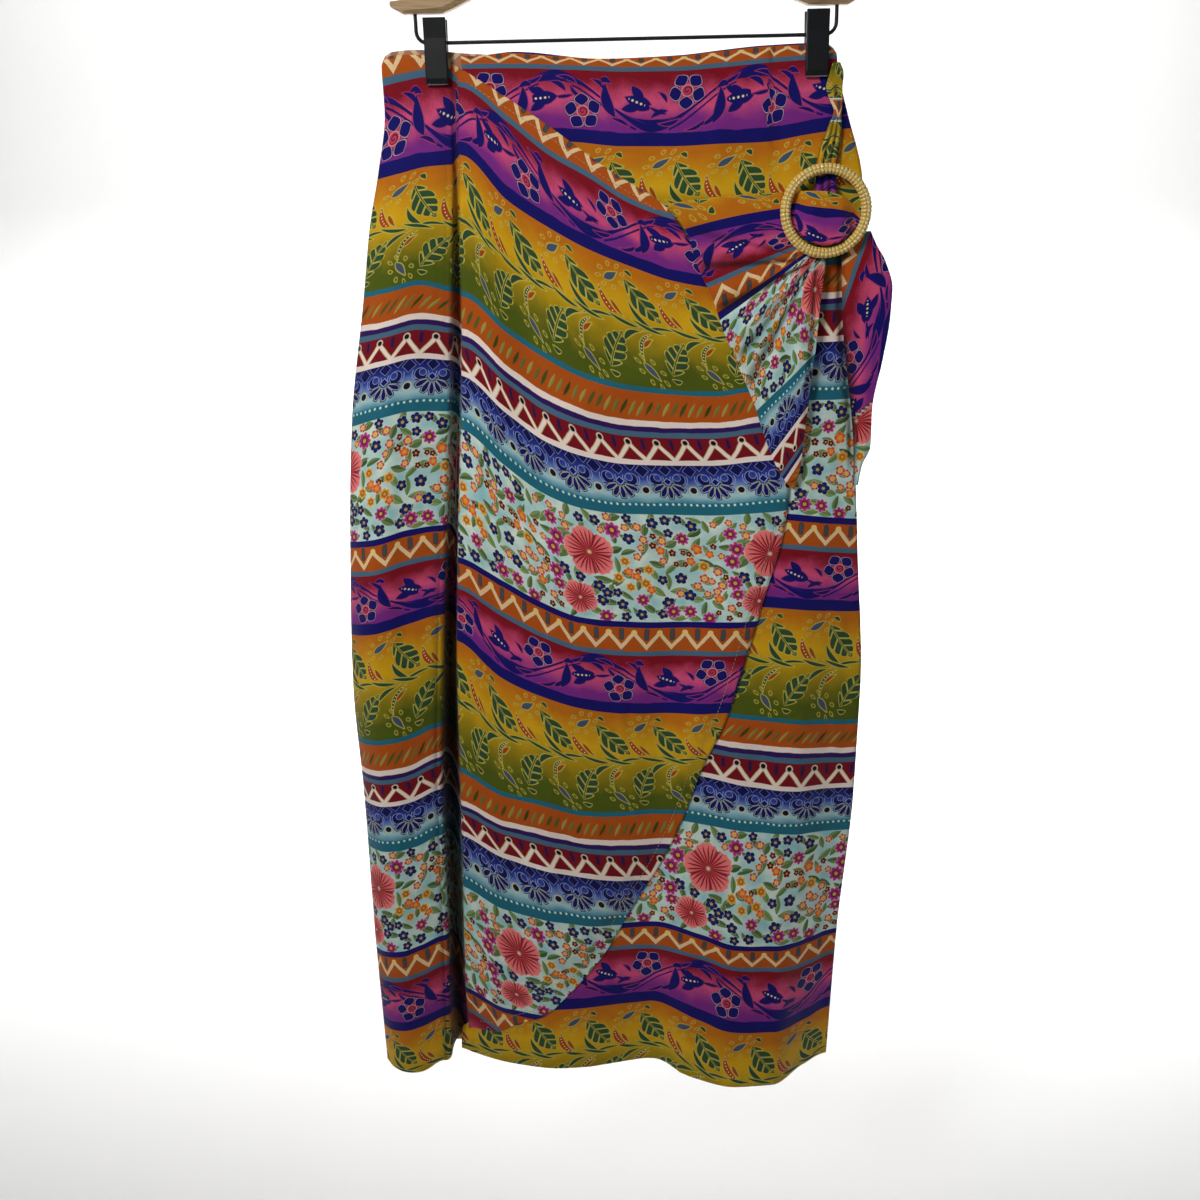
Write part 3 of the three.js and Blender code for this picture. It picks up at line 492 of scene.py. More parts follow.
# Leaf sprays: three in each repeat. detail: 1 veined leaf, 2 dotted arc, 3 drop with ovals, 0 plain.
for n in range(3):
    u0 = 38 + n * REPEAT_U / 3
    put("leaf", "A", u0, 89, (19, 10.5, 1.5), 52, (0.12, 0, 0), LEAF, (1, 0, 0))
    put("leaf", "A", u0 + 14, 134, (19, 9.5, -1.5), -54, (-0.12, 0, 0), LEAF, (1, 0, 0))
    put("leaf", "B", u0 + 23, 98, (14, 3.0, 4.6), 58, (-0.15, 0, 0), RUST, (2, 0, 0))
    put("leaf", "B", u0 - 10, 128, (14.5, 1.5, 5.0), 122, (0, 0, 0), LEAF, (2, 0, 0))
    put("leaf", "B", u0 - 7, 101, (11.5, 2.3, 3.2), 52, (0.3, 0, 0), LEAF, (0, 0, 0))
    put("leaf", "B", u0 + 33, 121, (11, 2.0, 3.0), 150, (0.3, 0, 0), LEAF, (0, 0, 0))
    put("leaf", "B", u0 - 24, 109, (13.5, 1.7, 1.6), 14, (0.1, 0, 0), LEAF, (0, 0, 0))
    put("leaf", "C", u0 + 30, 75, (8.5, 2.6, 0.3), -32, (-0.55, 0, 0), SLATE, (3, 0, 0))
    put("leaf", "C", u0 - 14, 148, (8.5, 2.6, -0.3), 55, (-0.55, 0, 0), SLATE, (3, 0, 0))
    put("leaf", "C", u0 + 27, 101, (7.5, 1.7, 0.6), 58, (-0.5, 0, 0), RUST, (0, 0, 0))
    put("leaf", "C", u0 - 8, 124, (7, 1.5, 0.6), 142, (0.5, 0, 0), RUST, (0, 0, 0))
    put("leaf", "C", u0 - 3, 110, (14, 1.6, 1.3), 15, (0.1, 0, 0), LEAF, (0, 0, 0))
    put("leaf", "D", u0 + 6, 112, (16, 1.3, -2.6), -10, (0.2, 0, 0), LEAF, (0, 0, 0))
    put("leaf", "D", u0 - 6, 69, (3.6, 1.9, -1.2), 30, (0, 0, 0), LEAF, (4, 0, 0))
    put("leaf", "D", u0 + 5, 153, (4.2, 1.9, 1.4), 8, (0, 0, 0), LEAF, (4, 0, 0))

# Small flowers, laid out by a seeded scatter that keeps them apart.
put("floral", "D", 138, 312, (22.5, 0.06, 5), 8, (0, 0, 0), CORAL, DEEP_RED, round_=True)
put("floral", "D", 124, 357, (15.5, 0.06, 5), 60, (0, 0, 0), CORAL, DEEP_RED, round_=True)
FLOWERS = """
share radius inner petals kind
0.27 6.9 0.2 8 0
0.22 5.2 0.16 5 1
0.10 5.2 0.22 6 2
0.15 4.6 0.2 5 3
0.10 3.2 0.2 5 4
0.16 4.0 0.2 5 5"""
TINTS = [
    (srgb(196, 70, 146), srgb(96, 0, 64)),
    (srgb(22, 34, 100), srgb(30, 70, 130)),
    (srgb(236, 176, 44), srgb(150, 40, 20)),
    (srgb(222, 98, 44), srgb(236, 160, 60)),
    (srgb(130, 16, 36), srgb(70, 4, 20)),
    (srgb(196, 60, 96), srgb(250, 220, 120)),
]


def apart(u, v, others, need):
    for o in others:
        du = (u - o[0] + REPEAT_U / 2) % REPEAT_U - REPEAT_U / 2
        if du * du + (v - o[1]) ** 2 < (need + o[2]) ** 2:
            return False
    return True


def scatter_flowers():
    kinds = table(FLOWERS)
    mixes = [(0, 0, 1), (3, 2, 4), (0, 1, 1), (0, 5, 1), (3, 4, 5), (1, 0, 5)]
    nests = []
    for _ in range(600):
        u, v = rng.uniform(0, REPEAT_U), rng.uniform(278, 372)
        if apart(u, v, nests, 13):
            nests.append((u, v, 13, mixes[len(nests) % 6]))
    big = [(138, 312, 21), (124, 357, 14)]
    done = {"A": list(big), "B": list(big)}
    for layer, tries, spread in (("A", 1300, 1.04), ("B", 420, 1.2)):
        for _ in range(tries):
            u, v = rng.uniform(0, REPEAT_U), rng.uniform(276.5, 373.5)
            far = [math.hypot((u - n[0] + 80) % 160 - 80, v - n[1]) for n in nests]
            nest = nests[int(np.argmin(far))]
            if min(far) > 10.5 and rng.uniform() < 0.8:
                continue
            k = int(nest[3][rng.integers(0, 3)])
            r = kinds["radius"][k] * rng.uniform(0.85, 1.15)
            if not apart(u, v, done[layer], r * spread) or (layer == "B" and not apart(u, v, done["A"], r * 0.5)):
                continue
            done[layer].append((u, v, r * spread))
            put("floral", layer, u, v, (r, kinds["inner"][k], kinds["petals"][k]), rng.uniform(0, 360), (0, 0, 0),
                TINTS[k][0], TINTS[k][1], round_=True)
    leaves = [(138, 312, 18), (124, 357, 10)]
    for cu, cv, far, angle in ((138, 312, 24, 205), (138, 312, 25, 165), (138, 312, 25, 118), (124, 357, 19, 200), (124, 357, 18, 320)):
        a = math.radians(angle)
        u, v = cu + far * math.cos(a), cv + far * math.sin(a)
        leaves.append((u, v, 7))
        put("floral", "C", u, v, (10.5, 4.6, 1.2), angle - 25, (-0.2, 0, 0), srgb(104, 134, 78), (1, 0, 0))
    for _ in range(3000):
        u, v = rng.uniform(0, REPEAT_U), rng.uniform(277, 373)
        if apart(u, v, leaves, 5.4):
            leaves.append((u, v, 5.0))
            tint = rng.uniform(0, 1)
            put("floral", "C", u, v, (rng.uniform(6.5, 9.5), rng.uniform(2.5, 3.8), rng.uniform(-1.4, 1.4)),
                rng.uniform(0, 180), (0, 0, 0), mixed(np.array(srgb(74, 104, 58)), np.array(srgb(134, 158, 98)), tint), (1, 0, 0))


scatter_flowers()


def lay_print(mesh, fu, fv, cu, cv, loop_face, band_of_face):
    """Gives each face the nearest motif of each layer, as that motif's own coordinates at the corners."""
    nl = len(loop_face)
    fvm = np.mod(fv, REPEAT_V)
    for layer in "ABCD":
        p = np.full((nl, 3), 0.0, np.float32)
        p[:, 0] = 900
        s, q, c = (np.zeros((nl, 3), np.float32) for _ in range(3))
        s[:] = (1, 0, 5)
        for b, (name, v0, v1) in enumerate(BANDS):
            elems = ELEMENTS[name][layer]
            faces = np.nonzero(band_of_face == b)[0]
            if not elems or not len(faces):
                continue
            best = np.full(len(faces), 1.75)
            which = np.full(len(faces), -1)
            for k, e in enumerate(elems):
                du = np.mod(fu[faces] - e["u"] + REPEAT_U / 2, REPEAT_U) - REPEAT_U / 2
                dv = fvm[faces] - e["v"]
                reach = 2.0 * max(e["s"][0], e["s"][1]) + 4
                near = np.nonzero((np.abs(du) < reach) & (np.abs(dv) < reach))[0]
                if not len(near):
                    continue
                x = du[near] * math.cos(e["a"]) + dv[near] * math.sin(e["a"])
                y = -du[near] * math.sin(e["a"]) + dv[near] * math.cos(e["a"])
                if e["round"]:
                    d = np.hypot(x, y) / (e["s"][0] + 0.8)
                else:
                    length, width, bend = e["s"]
                    oval = 1.9 if e["q"][0] == 3 else 1.0
                    d = np.hypot(x / (length * (1.45 if oval > 1 else 1) + 1.2), (y - bend * (1 - (x / length) ** 2)) / (width * oval * 1.6 + 1.6))
                better = d < best[near]
                best[near[better]] = d[better]
                which[near[better]] = k
            par = {key: np.array([np.ravel(e[key])[:3] for e in elems], float) for key in ("s", "k", "c", "q")}
            eu, ev, ea = (np.array([e[key] for e in elems], float) for key in ("u", "v", "a"))
            full = np.full(len(fu), -1)
            full[faces] = which
            lk = full[loop_face]
            on = np.nonzero(lk >= 0)[0]
            k, face = lk[on], loop_face[on]
            du = np.mod(fu[face] - eu[k] + REPEAT_U / 2, REPEAT_U) - REPEAT_U / 2 + cu[on] - fu[face]
            dv = fvm[face] - ev[k] + cv[on] - fv[face]
            ca, sa = np.cos(ea[k]), np.sin(ea[k])
            p[on, 0], p[on, 1], p[on, 2] = du * ca + dv * sa, -du * sa + dv * ca, par["k"][k, 0]
            s[on], q[on], c[on] = par["s"][k], par["q"][k], par["c"][k]
        for tag, data in (("p", p), ("s", s), ("q", q), ("c", c)):
            a = mesh.attributes.new("pr_" + layer + tag, "FLOAT_VECTOR", "CORNER")
            a.data.foreach_set("vector", np.ascontiguousarray(data, np.float32).ravel())


# ------------------------------------------------------------------ cloth meshes
BAND_MATERIALS = []  # filled in before the cloth is made


def cloth(name, points, uv, strips, thickness=THREAD, flip=False, per_face=False, depth=None):
    """A thin closed shell from a grid of points in mm, seen from -Y with columns to +X and rows down.
    uv holds each point's place on the print; strips is each row's v, which picks the band of a face."""
    nr, nc = points.shape[:2]
    flat = points.reshape(-1, 3)
    key = np.round(flat, 4)
    _, first, ids = np.unique(key, axis=0, return_index=True, return_inverse=True)
    ids = ids.reshape(nr, nc)
    verts, pr = flat[first], uv.reshape(-1, 2)[first]
    n = len(verts)
    faces, band = [], []
    starts = np.array([b[1] for b in BANDS] + [REPEAT_V])
    for i in range(nr - 1):
        mid = np.mod(strips[i] if per_face else (strips[i] + strips[i + 1]) / 2, REPEAT_V)
        row_band = None if per_face else int(np.searchsorted(starts, mid, side="right") - 1)
        for j in range(nc - 1):
            f = [ids[i, j], ids[i + 1, j], ids[i + 1, j + 1], ids[i, j + 1]]
            g = [f[k] for k in range(4) if f[k] != f[k - 1]]
            if len(set(g)) < 3 or len(set(g)) != len(g):
                continue
            faces.append(g)
            band.append(row_band if row_band is not None else int(np.searchsorted(starts, mid[j], side="right") - 1))
    lens = np.array([len(f) for f in faces])
    loops = np.concatenate([np.array(f) for f in faces])
    start = np.concatenate([[0], np.cumsum(lens)[:-1]])
    # vertex normals from the faces' own diagonals
    quad = np.array([[f[0], f[1], f[2], f[3] if len(f) == 4 else f[2]] for f in faces])
    v = verts[quad]
    fn = np.cross(v[:, 2] - v[:, 0], v[:, 3] - v[:, 1])
    tri = lens == 3
    fn[tri] = np.cross(v[tri, 1] - v[tri, 0], v[tri, 2] - v[tri, 0])
    vn = np.zeros((n, 3))
    for k in range(4):
        np.add.at(vn, quad[:, k], fn)
    vn /= np.maximum(np.linalg.norm(vn, axis=1, keepdims=True), 1e-12)
    back = verts - vn * thickness
    edges = {}
    for f in faces:
        for k in range(len(f)):
            edges[(f[k], f[(k + 1) % len(f)])] = True
    rim = [(a, b) for a, b in edges if (b, a) not in edges]
    nf, nrim = len(faces), len(rim)
    all_faces = faces + [[x + n for x in reversed(f)] for f in faces] + [[b, a, a + n, b + n] for a, b in rim]
    band = np.array(band + band)
    edge_band = {}
    for fi, f in enumerate(faces):
        for k in range(len(f)):
            edge_band[(f[k], f[(k + 1) % len(f)])] = band[fi]
    band = np.concatenate([band, [edge_band[e] for e in rim]]).astype(int)
    co = np.concatenate([verts, back]) / 1000
    mesh = bpy.data.meshes.new(name)
    mesh.from_pydata(co.tolist(), [], [[int(x) for x in f] for f in all_faces])
    mesh.update()
    obj = bpy.data.objects.new(name, mesh)
    bpy.context.scene.collection.objects.link(obj)
    total = len(all_faces)
    mesh.polygons.foreach_set("use_smooth", np.array([True] * (2 * nf) + [False] * nrim))
    for m in BAND_MATERIALS:
        mesh.materials.append(m)
    mesh.polygons.foreach_set("material_index", band.astype(np.int32))
    pr2 = np.concatenate([pr, pr])
    reverse_and_painted_shade = np.concatenate([np.full(n, float(flip)), np.full(n, 1.0 - float(flip))])
    # painted shade: depth lowers the front's pr third value below 0, and the band materials darken the colour there,
    # standing in for shade in folds, creases and gaps
    if depth is not None:
        reverse_and_painted_shade[:n] -= np.broadcast_to(depth, (nr, nc)).ravel()[first]
    a = mesh.attributes.new("pr", "FLOAT_VECTOR", "POINT")
    a.data.foreach_set("vector", np.column_stack([pr2, reverse_and_painted_shade]).astype(np.float32).ravel())
    nl = len(mesh.loops)
    lv = np.zeros(nl, np.int32)
    mesh.loops.foreach_get("vertex_index", lv)
    ls = np.zeros(total, np.int32)
    mesh.polygons.foreach_get("loop_start", ls)
    lt = np.zeros(total, np.int32)
    mesh.polygons.foreach_get("loop_total", lt)
    loop_face = np.repeat(np.arange(total), lt)
    cu, cv = pr2[lv, 0], pr2[lv, 1]
    fu, fv = np.add.reduceat(cu, ls) / lt, np.add.reduceat(cv, ls) / lt
    # each face picks the motifs of its own band, by the band given to the face
    lay_print(mesh, fu, fv, cu, cv, loop_face, band)
    # places for baking: the front beside the back
    grid_s = np.linspace(0, 1, nc)[None, :].repeat(nr, 0).ravel()[first]
    arc = np.zeros((nr, nc))
    arc[1:] = np.cumsum(np.linalg.norm(np.diff(points, axis=0), axis=2), 0)
    arc_u = np.zeros((nr, nc))
    arc_u[:, 1:] = np.cumsum(np.linalg.norm(np.diff(points, axis=1), axis=2), 1)
    su = (arc_u / max(arc_u.max(), 1e-6)).ravel()[first]
    sv = (uv.reshape(-1, 2)[first][:, 1] - uv[..., 1].min()) / max(np.ptp(uv[..., 1]), 1e-6)
    if np.ptp(arc_u[:, -1]) > 0.25 * arc_u.max():
        su = 0.7 * su + 0.3 * grid_s
    u_all = np.concatenate([0.005 + 0.735 * su, 0.755 + 0.24 * su])
    v_all = np.concatenate([sv, sv]) * 0.985 + 0.0075
    layer = mesh.uv_layers.new(name="OFBake")
    layer.data.foreach_set("uv", np.column_stack([u_all[lv], v_all[lv]]).astype(np.float32).ravel())
    return obj


def mesh_rows(v_from, v_to, step=ROW_STEP):
    """Rows along the print, every few mm and on each band's edge."""
    edges = [b[1] + REPEAT_V * k for k in range(-2, 5) for b in BANDS]
    stops = sorted({v_from, v_to, *[e for e in edges if v_from < e < v_to]})
    out = [stops[0]]
    for a, b in zip(stops[:-1], stops[1:]):
        n = max(1, int(round((b - a) / step)))
        out += [a + (b - a) * (k + 1) / n for k in range(n)]
    return np.array(out)


def arc_along(points, axis=1):
    d = np.linalg.norm(np.diff(points, axis=axis), axis=2)
    out = np.zeros(points.shape[:2])
    if axis == 1:
        out[:, 1:] = np.cumsum(d, 1)
    else:
        out[1:] = np.cumsum(d, 0)
    return out

RING_AT = (166.7, -277.2)


# ------------------------------------------------------------------ a small language for shader nodes
class S:
    """The output of a node, with arithmetic."""

    def __init__(self, net, sock):
        self.net, self.sock = net, sock

    def __add__(self, b):
        return self.net.m("ADD", self, b)

    __radd__ = __add__

    def __sub__(self, b):
        return self.net.m("SUBTRACT", self, b)

    def __rsub__(self, b):
        return self.net.m("SUBTRACT", b, self)

    def __mul__(self, b):
        return self.net.m("MULTIPLY", self, b)

    __rmul__ = __mul__

    def __truediv__(self, b):
        return self.net.m("DIVIDE", self, b)

    def __rtruediv__(self, b):
        return self.net.m("DIVIDE", b, self)

    def abs(self):
        return self.net.m("ABSOLUTE", self)

    def sin(self):
        return self.net.m("SINE", self)

    def cos(self):
        return self.net.m("COSINE", self)

    def sqrt(self):
        return self.net.m("SQRT", self)

    def mod(self, b):
        return self.net.m("FLOORED_MODULO", self, b)

    def min(self, b):
        return self.net.m("MINIMUM", self, b)

    def max(self, b):
        return self.net.m("MAXIMUM", self, b)

    def gt(self, b):
        return self.net.m("GREATER_THAN", self, b)

    def lt(self, b):
        return self.net.m("LESS_THAN", self, b)

    def near(self, b, tol=0.3):
        return self.net.m("COMPARE", self, b, tol)

    def ink(self, soft=0.4):
        """1 where a distance is below 0, with a soft edge."""
        return self.net.m("MULTIPLY_ADD", self, -1 / soft, 0.5, clamp=True)

    def ramp(self, a, b):
        """0 at a, 1 at b, clamped."""
        return self.net.m("MULTIPLY_ADD", self, 1 / (b - a), -a / (b - a), clamp=True)


class Net:
    def __init__(self, name):
        self.mat = bpy.data.materials.new(name)
        self.mat.use_nodes = True
        self.nt = self.mat.node_tree
        self.nt.nodes.clear()

    def node(self, kind, **props):
        n = self.nt.nodes.new(kind)
        for k, v in props.items():
            setattr(n, k, v)
        return n

    def put(self, value, sock):
        if isinstance(value, S):
            self.nt.links.new(value.sock, sock)
        elif isinstance(value, (tuple, list, np.ndarray)):
            value = [float(x) for x in value]
            sock.default_value = value + [1.0] * (len(sock.default_value) - len(value))
        else:
            sock.default_value = float(value)

    def m(self, op, *args, clamp=False):
        n = self.node("ShaderNodeMath", operation=op, use_clamp=clamp)
        for a, s in zip(args, n.inputs):
            self.put(a, s)
        return S(self, n.outputs[0])

    def mix(self, f, a, b, kind="MIX"):
        n = self.node("ShaderNodeMix", data_type="RGBA", blend_type=kind)
        self.put(f, n.inputs[0])
        self.put(a, n.inputs[6])
        self.put(b, n.inputs[7])
        return S(self, n.outputs[2])

    def attr(self, name):
        n = self.node("ShaderNodeAttribute", attribute_name=name)
        return S(self, n.outputs["Vector"])

    def sep(self, s):
        n = self.node("ShaderNodeSeparateXYZ")
        self.put(s, n.inputs[0])
        return [S(self, o) for o in n.outputs]

    def join(self, x, y, z=0.0):
        n = self.node("ShaderNodeCombineXYZ")
        for a, s in zip((x, y, z), n.inputs):
            self.put(a, s)
        return S(self, n.outputs[0])

    def noise(self, vec, scale, detail=2.0, rough=0.5, out=0):
        n = self.node("ShaderNodeTexNoise")
        self.put(vec, n.inputs["Vector"])
        n.inputs["Scale"].default_value = scale
        n.inputs["Detail"].default_value = detail
        n.inputs["Roughness"].default_value = rough
        return S(self, n.outputs[out])

    def noise3(self, vec, scale, detail=2.0):
        c = self.noise(vec, scale, detail, out=1)
        n = self.node("ShaderNodeSeparateColor")
        self.put(c, n.inputs[0])
        return [S(self, o) for o in n.outputs]

    def hypot(self, x, y):
        return (x * x + y * y).sqrt()

    def place(self):
        """Position in the row frame, in mm."""
        n = self.node("ShaderNodeNewGeometry")
        v = self.node("ShaderNodeVectorMath", operation="SCALE")
        self.nt.links.new(n.outputs["Position"], v.inputs[0])
        v.inputs["Scale"].default_value = 1000
        return S(self, v.outputs[0])

    def end(self, colour, rough=0.8, bump=None, strength=0.2, distance=0.0003, metal=0.0, sheen=0.0, spec=0.5, coat=0.0):
        p = self.node("ShaderNodeBsdfPrincipled")
        self.put(colour, p.inputs["Base Color"])
        self.put(rough, p.inputs["Roughness"])
        p.inputs["Metallic"].default_value = metal
        p.inputs["Specular IOR Level"].default_value = spec
        p.inputs["Sheen Weight"].default_value = sheen
        p.inputs["Sheen Roughness"].default_value = 0.5
        p.inputs["Coat Weight"].default_value = coat
        if bump is not None:
            b = self.node("ShaderNodeBump")
            b.inputs["Strength"].default_value = strength
            b.inputs["Distance"].default_value = distance
            self.put(bump, b.inputs["Height"])
            self.nt.links.new(b.outputs[0], p.inputs["Normal"])
        o = self.node("ShaderNodeOutputMaterial")
        self.nt.links.new(p.outputs[0], o.inputs[0])
        return self.mat


# ------------------------------------------------------------------ drawing motifs from their own coordinates
def lens(net, layer):
    x, y, taper = net.sep(net.attr(f"pr_{layer}p"))
    length, width, bend = net.sep(net.attr(f"pr_{layer}s"))
    t = x / length
    tt = t * t
    one = 1 - tt
    yb = y - bend * one
    d = yb.abs() + 0.2 - width * one.max(0) * (1 + taper * t) + (tt - 1).max(0) * 6
    return x, yb, d, length, width


def petals(net, layer, width=0.78, pointed=False):
    x, y, _ = net.sep(net.attr(f"pr_{layer}p"))
    radius, inner, count = net.sep(net.attr(f"pr_{layer}s"))
    r = net.hypot(x, y)
    theta = net.m("ARCTAN2", y, x)
    step = 6.28319 / count.max(1)
    phi = theta.mod(step) - step * 0.5
    px, py = r * phi.cos(), r * phi.sin()
    half_l = radius * (1 - inner) * 0.5
    half_w = radius * (step * 0.5).sin() * width
    a = (px - radius * (1 + inner) * 0.5) / half_l
    if pointed:
        d = py.abs() - half_w * (1 - a * a) + (a.abs() - 1).max(0) * 6
    else:
        b = py / half_w
        d = ((a * a + b * b).sqrt() - 1) * half_w
    return r, theta, phi, d, radius


def vine(net, u, v, wob, grain):
    t = v * 0.02 + (wob - 0.5) * 0.45 + (grain - 0.5) * 0.35
    col = net.mix(t.ramp(0.12, 0.52), CRIMSON, PINK)
    col = net.mix(t.ramp(0.5, 0.86), col, PURPLE)
    wave = ((u + 23) * 0.0392699).cos()
    vs = 25 - wave * 19.5
    off = (v - vs) * 0.84
    thick = wave * wave
    col = net.mix((off.abs() - 0.9 - thick * thick * 3.4).ink(0.5), col, NAVY)
    col = net.mix(((off + 1.7).abs() - 0.3).ink(0.5) * (1 - thick) * 0.8, col, PINK)
    col = net.mix(((off - 4.6).abs() - 0.7).ink(0.5) * (0.75 - thick).gt(0), col, NAVY)
    _, _, d, _, _ = lens(net, "C")
    x, y, db, _, w = lens(net, "B")
    d = d.min(db)
    col = net.mix((d - 0.75).ink() * 0.85, col, srgb(176, 74, 120))
    col = net.mix(d.ink(), col, NAVY)
    dots = (net.hypot((x - 0.4).mod(3.8) - 1.9, y) - 1.0).ink(0.5) * (w - 4.8).gt(0) * (7.2 - (x + 1.5).abs()).gt(0)
    col = net.mix(dots, col, CREAM)
    r, theta, phi, d, radius = petals(net, "A", 0.64, True)
    d = d + (r / radius - 0.75).max(0) * 3.2
    col = net.mix((r - radius * 0.46).ink(), col, srgb(196, 74, 108))
    col = net.mix((d - 1.0).ink(0.5), col, srgb(40, 14, 92))
    col = net.mix((d - 0.45).ink(), col, srgb(212, 170, 176))
    col = net.mix((d + 0.35).ink(), col, NAVY)
    col = net.mix(((r - radius * 0.3).abs() - 0.4).ink(), col, srgb(220, 160, 160))
    spiral = ((r * 0.36 - theta * 0.159155).mod(1.0) - 0.32).ink(0.2) * (r - radius * 0.26).ink()
    col = net.mix(spiral, col, srgb(90, 10, 50))
    edge = 50 + (wob - 0.5) * 3
    return net.mix((edge - v).ink(0.6), col, NAVY)


def tip_off(x):
    """Past a leaf's tip or its stalk's end, how far."""
    return (x.abs() - 17).max(0)


def leaf(net, u, v, wob, grain):
    t = v + (grain - 0.5) * 20 + (wob - 0.5) * 26
    col = net.mix(t.ramp(66, 96), AMBER, YELLOW)
    col = net.mix(t.ramp(100, 146), col, OLIVE)
    x, y, d, _, _ = lens(net, "D")
    q = net.sep(net.attr("pr_Dq"))[0]
    col = net.mix((d - 0.85).ink(), col, LINE)
    col = net.mix(d.ink(), col, LEAF)
    x, y, d, _, _ = lens(net, "B")
    q = net.sep(net.attr("pr_Bq"))[0]
    col = net.mix((d - 0.85).ink(), col, LINE)
    col = net.mix(d.ink(), col, net.attr("pr_Bc"))
    dots = (net.hypot(x.mod(3.0) - 1.5, y) - 0.62).ink(0.4) * q.near(2) * d.ink()
    col = net.mix(dots, col, CREAM)
    x, y, d, length, width = lens(net, "C")
    q = net.sep(net.attr("pr_Cq"))[0].near(3)
    ex, ey = x / (length + 4.4), y / (width + 5.6)
    ring = net.hypot(ex, ey)
    psi = net.m("ARCTAN2", ey, ex).mod(0.785398) - 0.392699
    oval = (net.hypot((ring - 1) * 5.4, psi * 7.4) - 1.05).abs() - 0.26
    col = net.mix(oval.ink(0.5) * q, col, LINE)
    col = net.mix((d - 0.9).ink(), col, LINE)
    col = net.mix(d.ink(), col, net.attr("pr_Cc"))
    x, y, d, _, _ = lens(net, "A")
    notch = ((x - y.abs() * 0.8).mod(8.6) - 4.3).abs()
    cut = 1 - (notch / 3.0).min(1)
    d = (d + cut * cut * 3.0).max(0.5 - notch * 0.85)
    rib = y.abs() + (tip_off(x)) * 9
    col = net.mix((d - 0.55).ink(), col, LINE)
    col = net.mix((d + 0.3).ink(), col, net.mix(grain.ramp(0.3, 0.8) * 0.6, LEAF, srgb(70, 100, 60)))
    col = net.mix((rib - 0.95).ink(0.5), col, LINE)
    col = net.mix((rib - 0.4).ink(0.5), col, srgb(60, 78, 30))
    return net.mix((161 + (wob - 0.5) * 2 - v).ink(0.5), col, TEAL)


def dash(net, u, v, wob, grain):
    col = net.mix(grain.ramp(0.2, 0.8) * 0.5, ORANGE, srgb(150, 66, 4))
    slant = u + v * 0.85
    cell = slant.mod(160 / 22) - 80 / 22
    pick = ((slant - cell) * 0.61).sin()
    y = (v - 177.5 + (wob - 0.5) * 5) / 5.8
    d = (cell.abs() - 1.75 * (1 - y * y)) * 0.8
    tint = net.mix(pick.ramp(-1, 1), srgb(64, 78, 22), srgb(176, 166, 92))
    tint = net.mix((cell - 0.5).gt(0) * 0.35, tint, srgb(90, 96, 40))
    col = net.mix(d.ink(0.7), col, tint)
    col = net.mix((187 + (wob - 0.5) * 1.6 - v).ink(0.5), col, WHITE)
    col = net.mix((192 + (wob - 0.5) * 1.6 - v).ink(0.5), col, VIOLET)
    return net.mix((196.3 + (wob - 0.5) - v).ink(0.5), col, STEEL)


def peaks(net, u, v, wob, grain):
    col = net.mix(grain.ramp(0.2, 0.9) * 0.4, CRIMSON, srgb(88, 4, 18))
    x = u.mod(24.6) - 12.3
    ax = x.abs()
    mid = 12.3 - ax
    bar = (net.hypot(mid.max(0), ((v - 207).abs() - 3).max(0)) - 1.5).ink(0.5)
    col = net.mix(bar, col, srgb(54, 20, 92))
    line = v - 206.5 - ax * 1.25
    col = net.mix((line.abs() * 0.62 - 2.1).ink(0.5), col, srgb(206, 176, 116))
    col = net.mix((line.abs() * 0.62 - 1.45).ink(0.5), col, WHITE)
    knob = net.hypot(x, v - 205.5)
    col = net.mix((knob - 3.3).ink(0.5), col, srgb(222, 204, 180))
    col = net.mix((knob - 2.1).ink(0.5), col, srgb(16, 8, 50))
    return net.mix((221.3 + (wob - 0.5) - v).ink(0.5), col, WHITE)


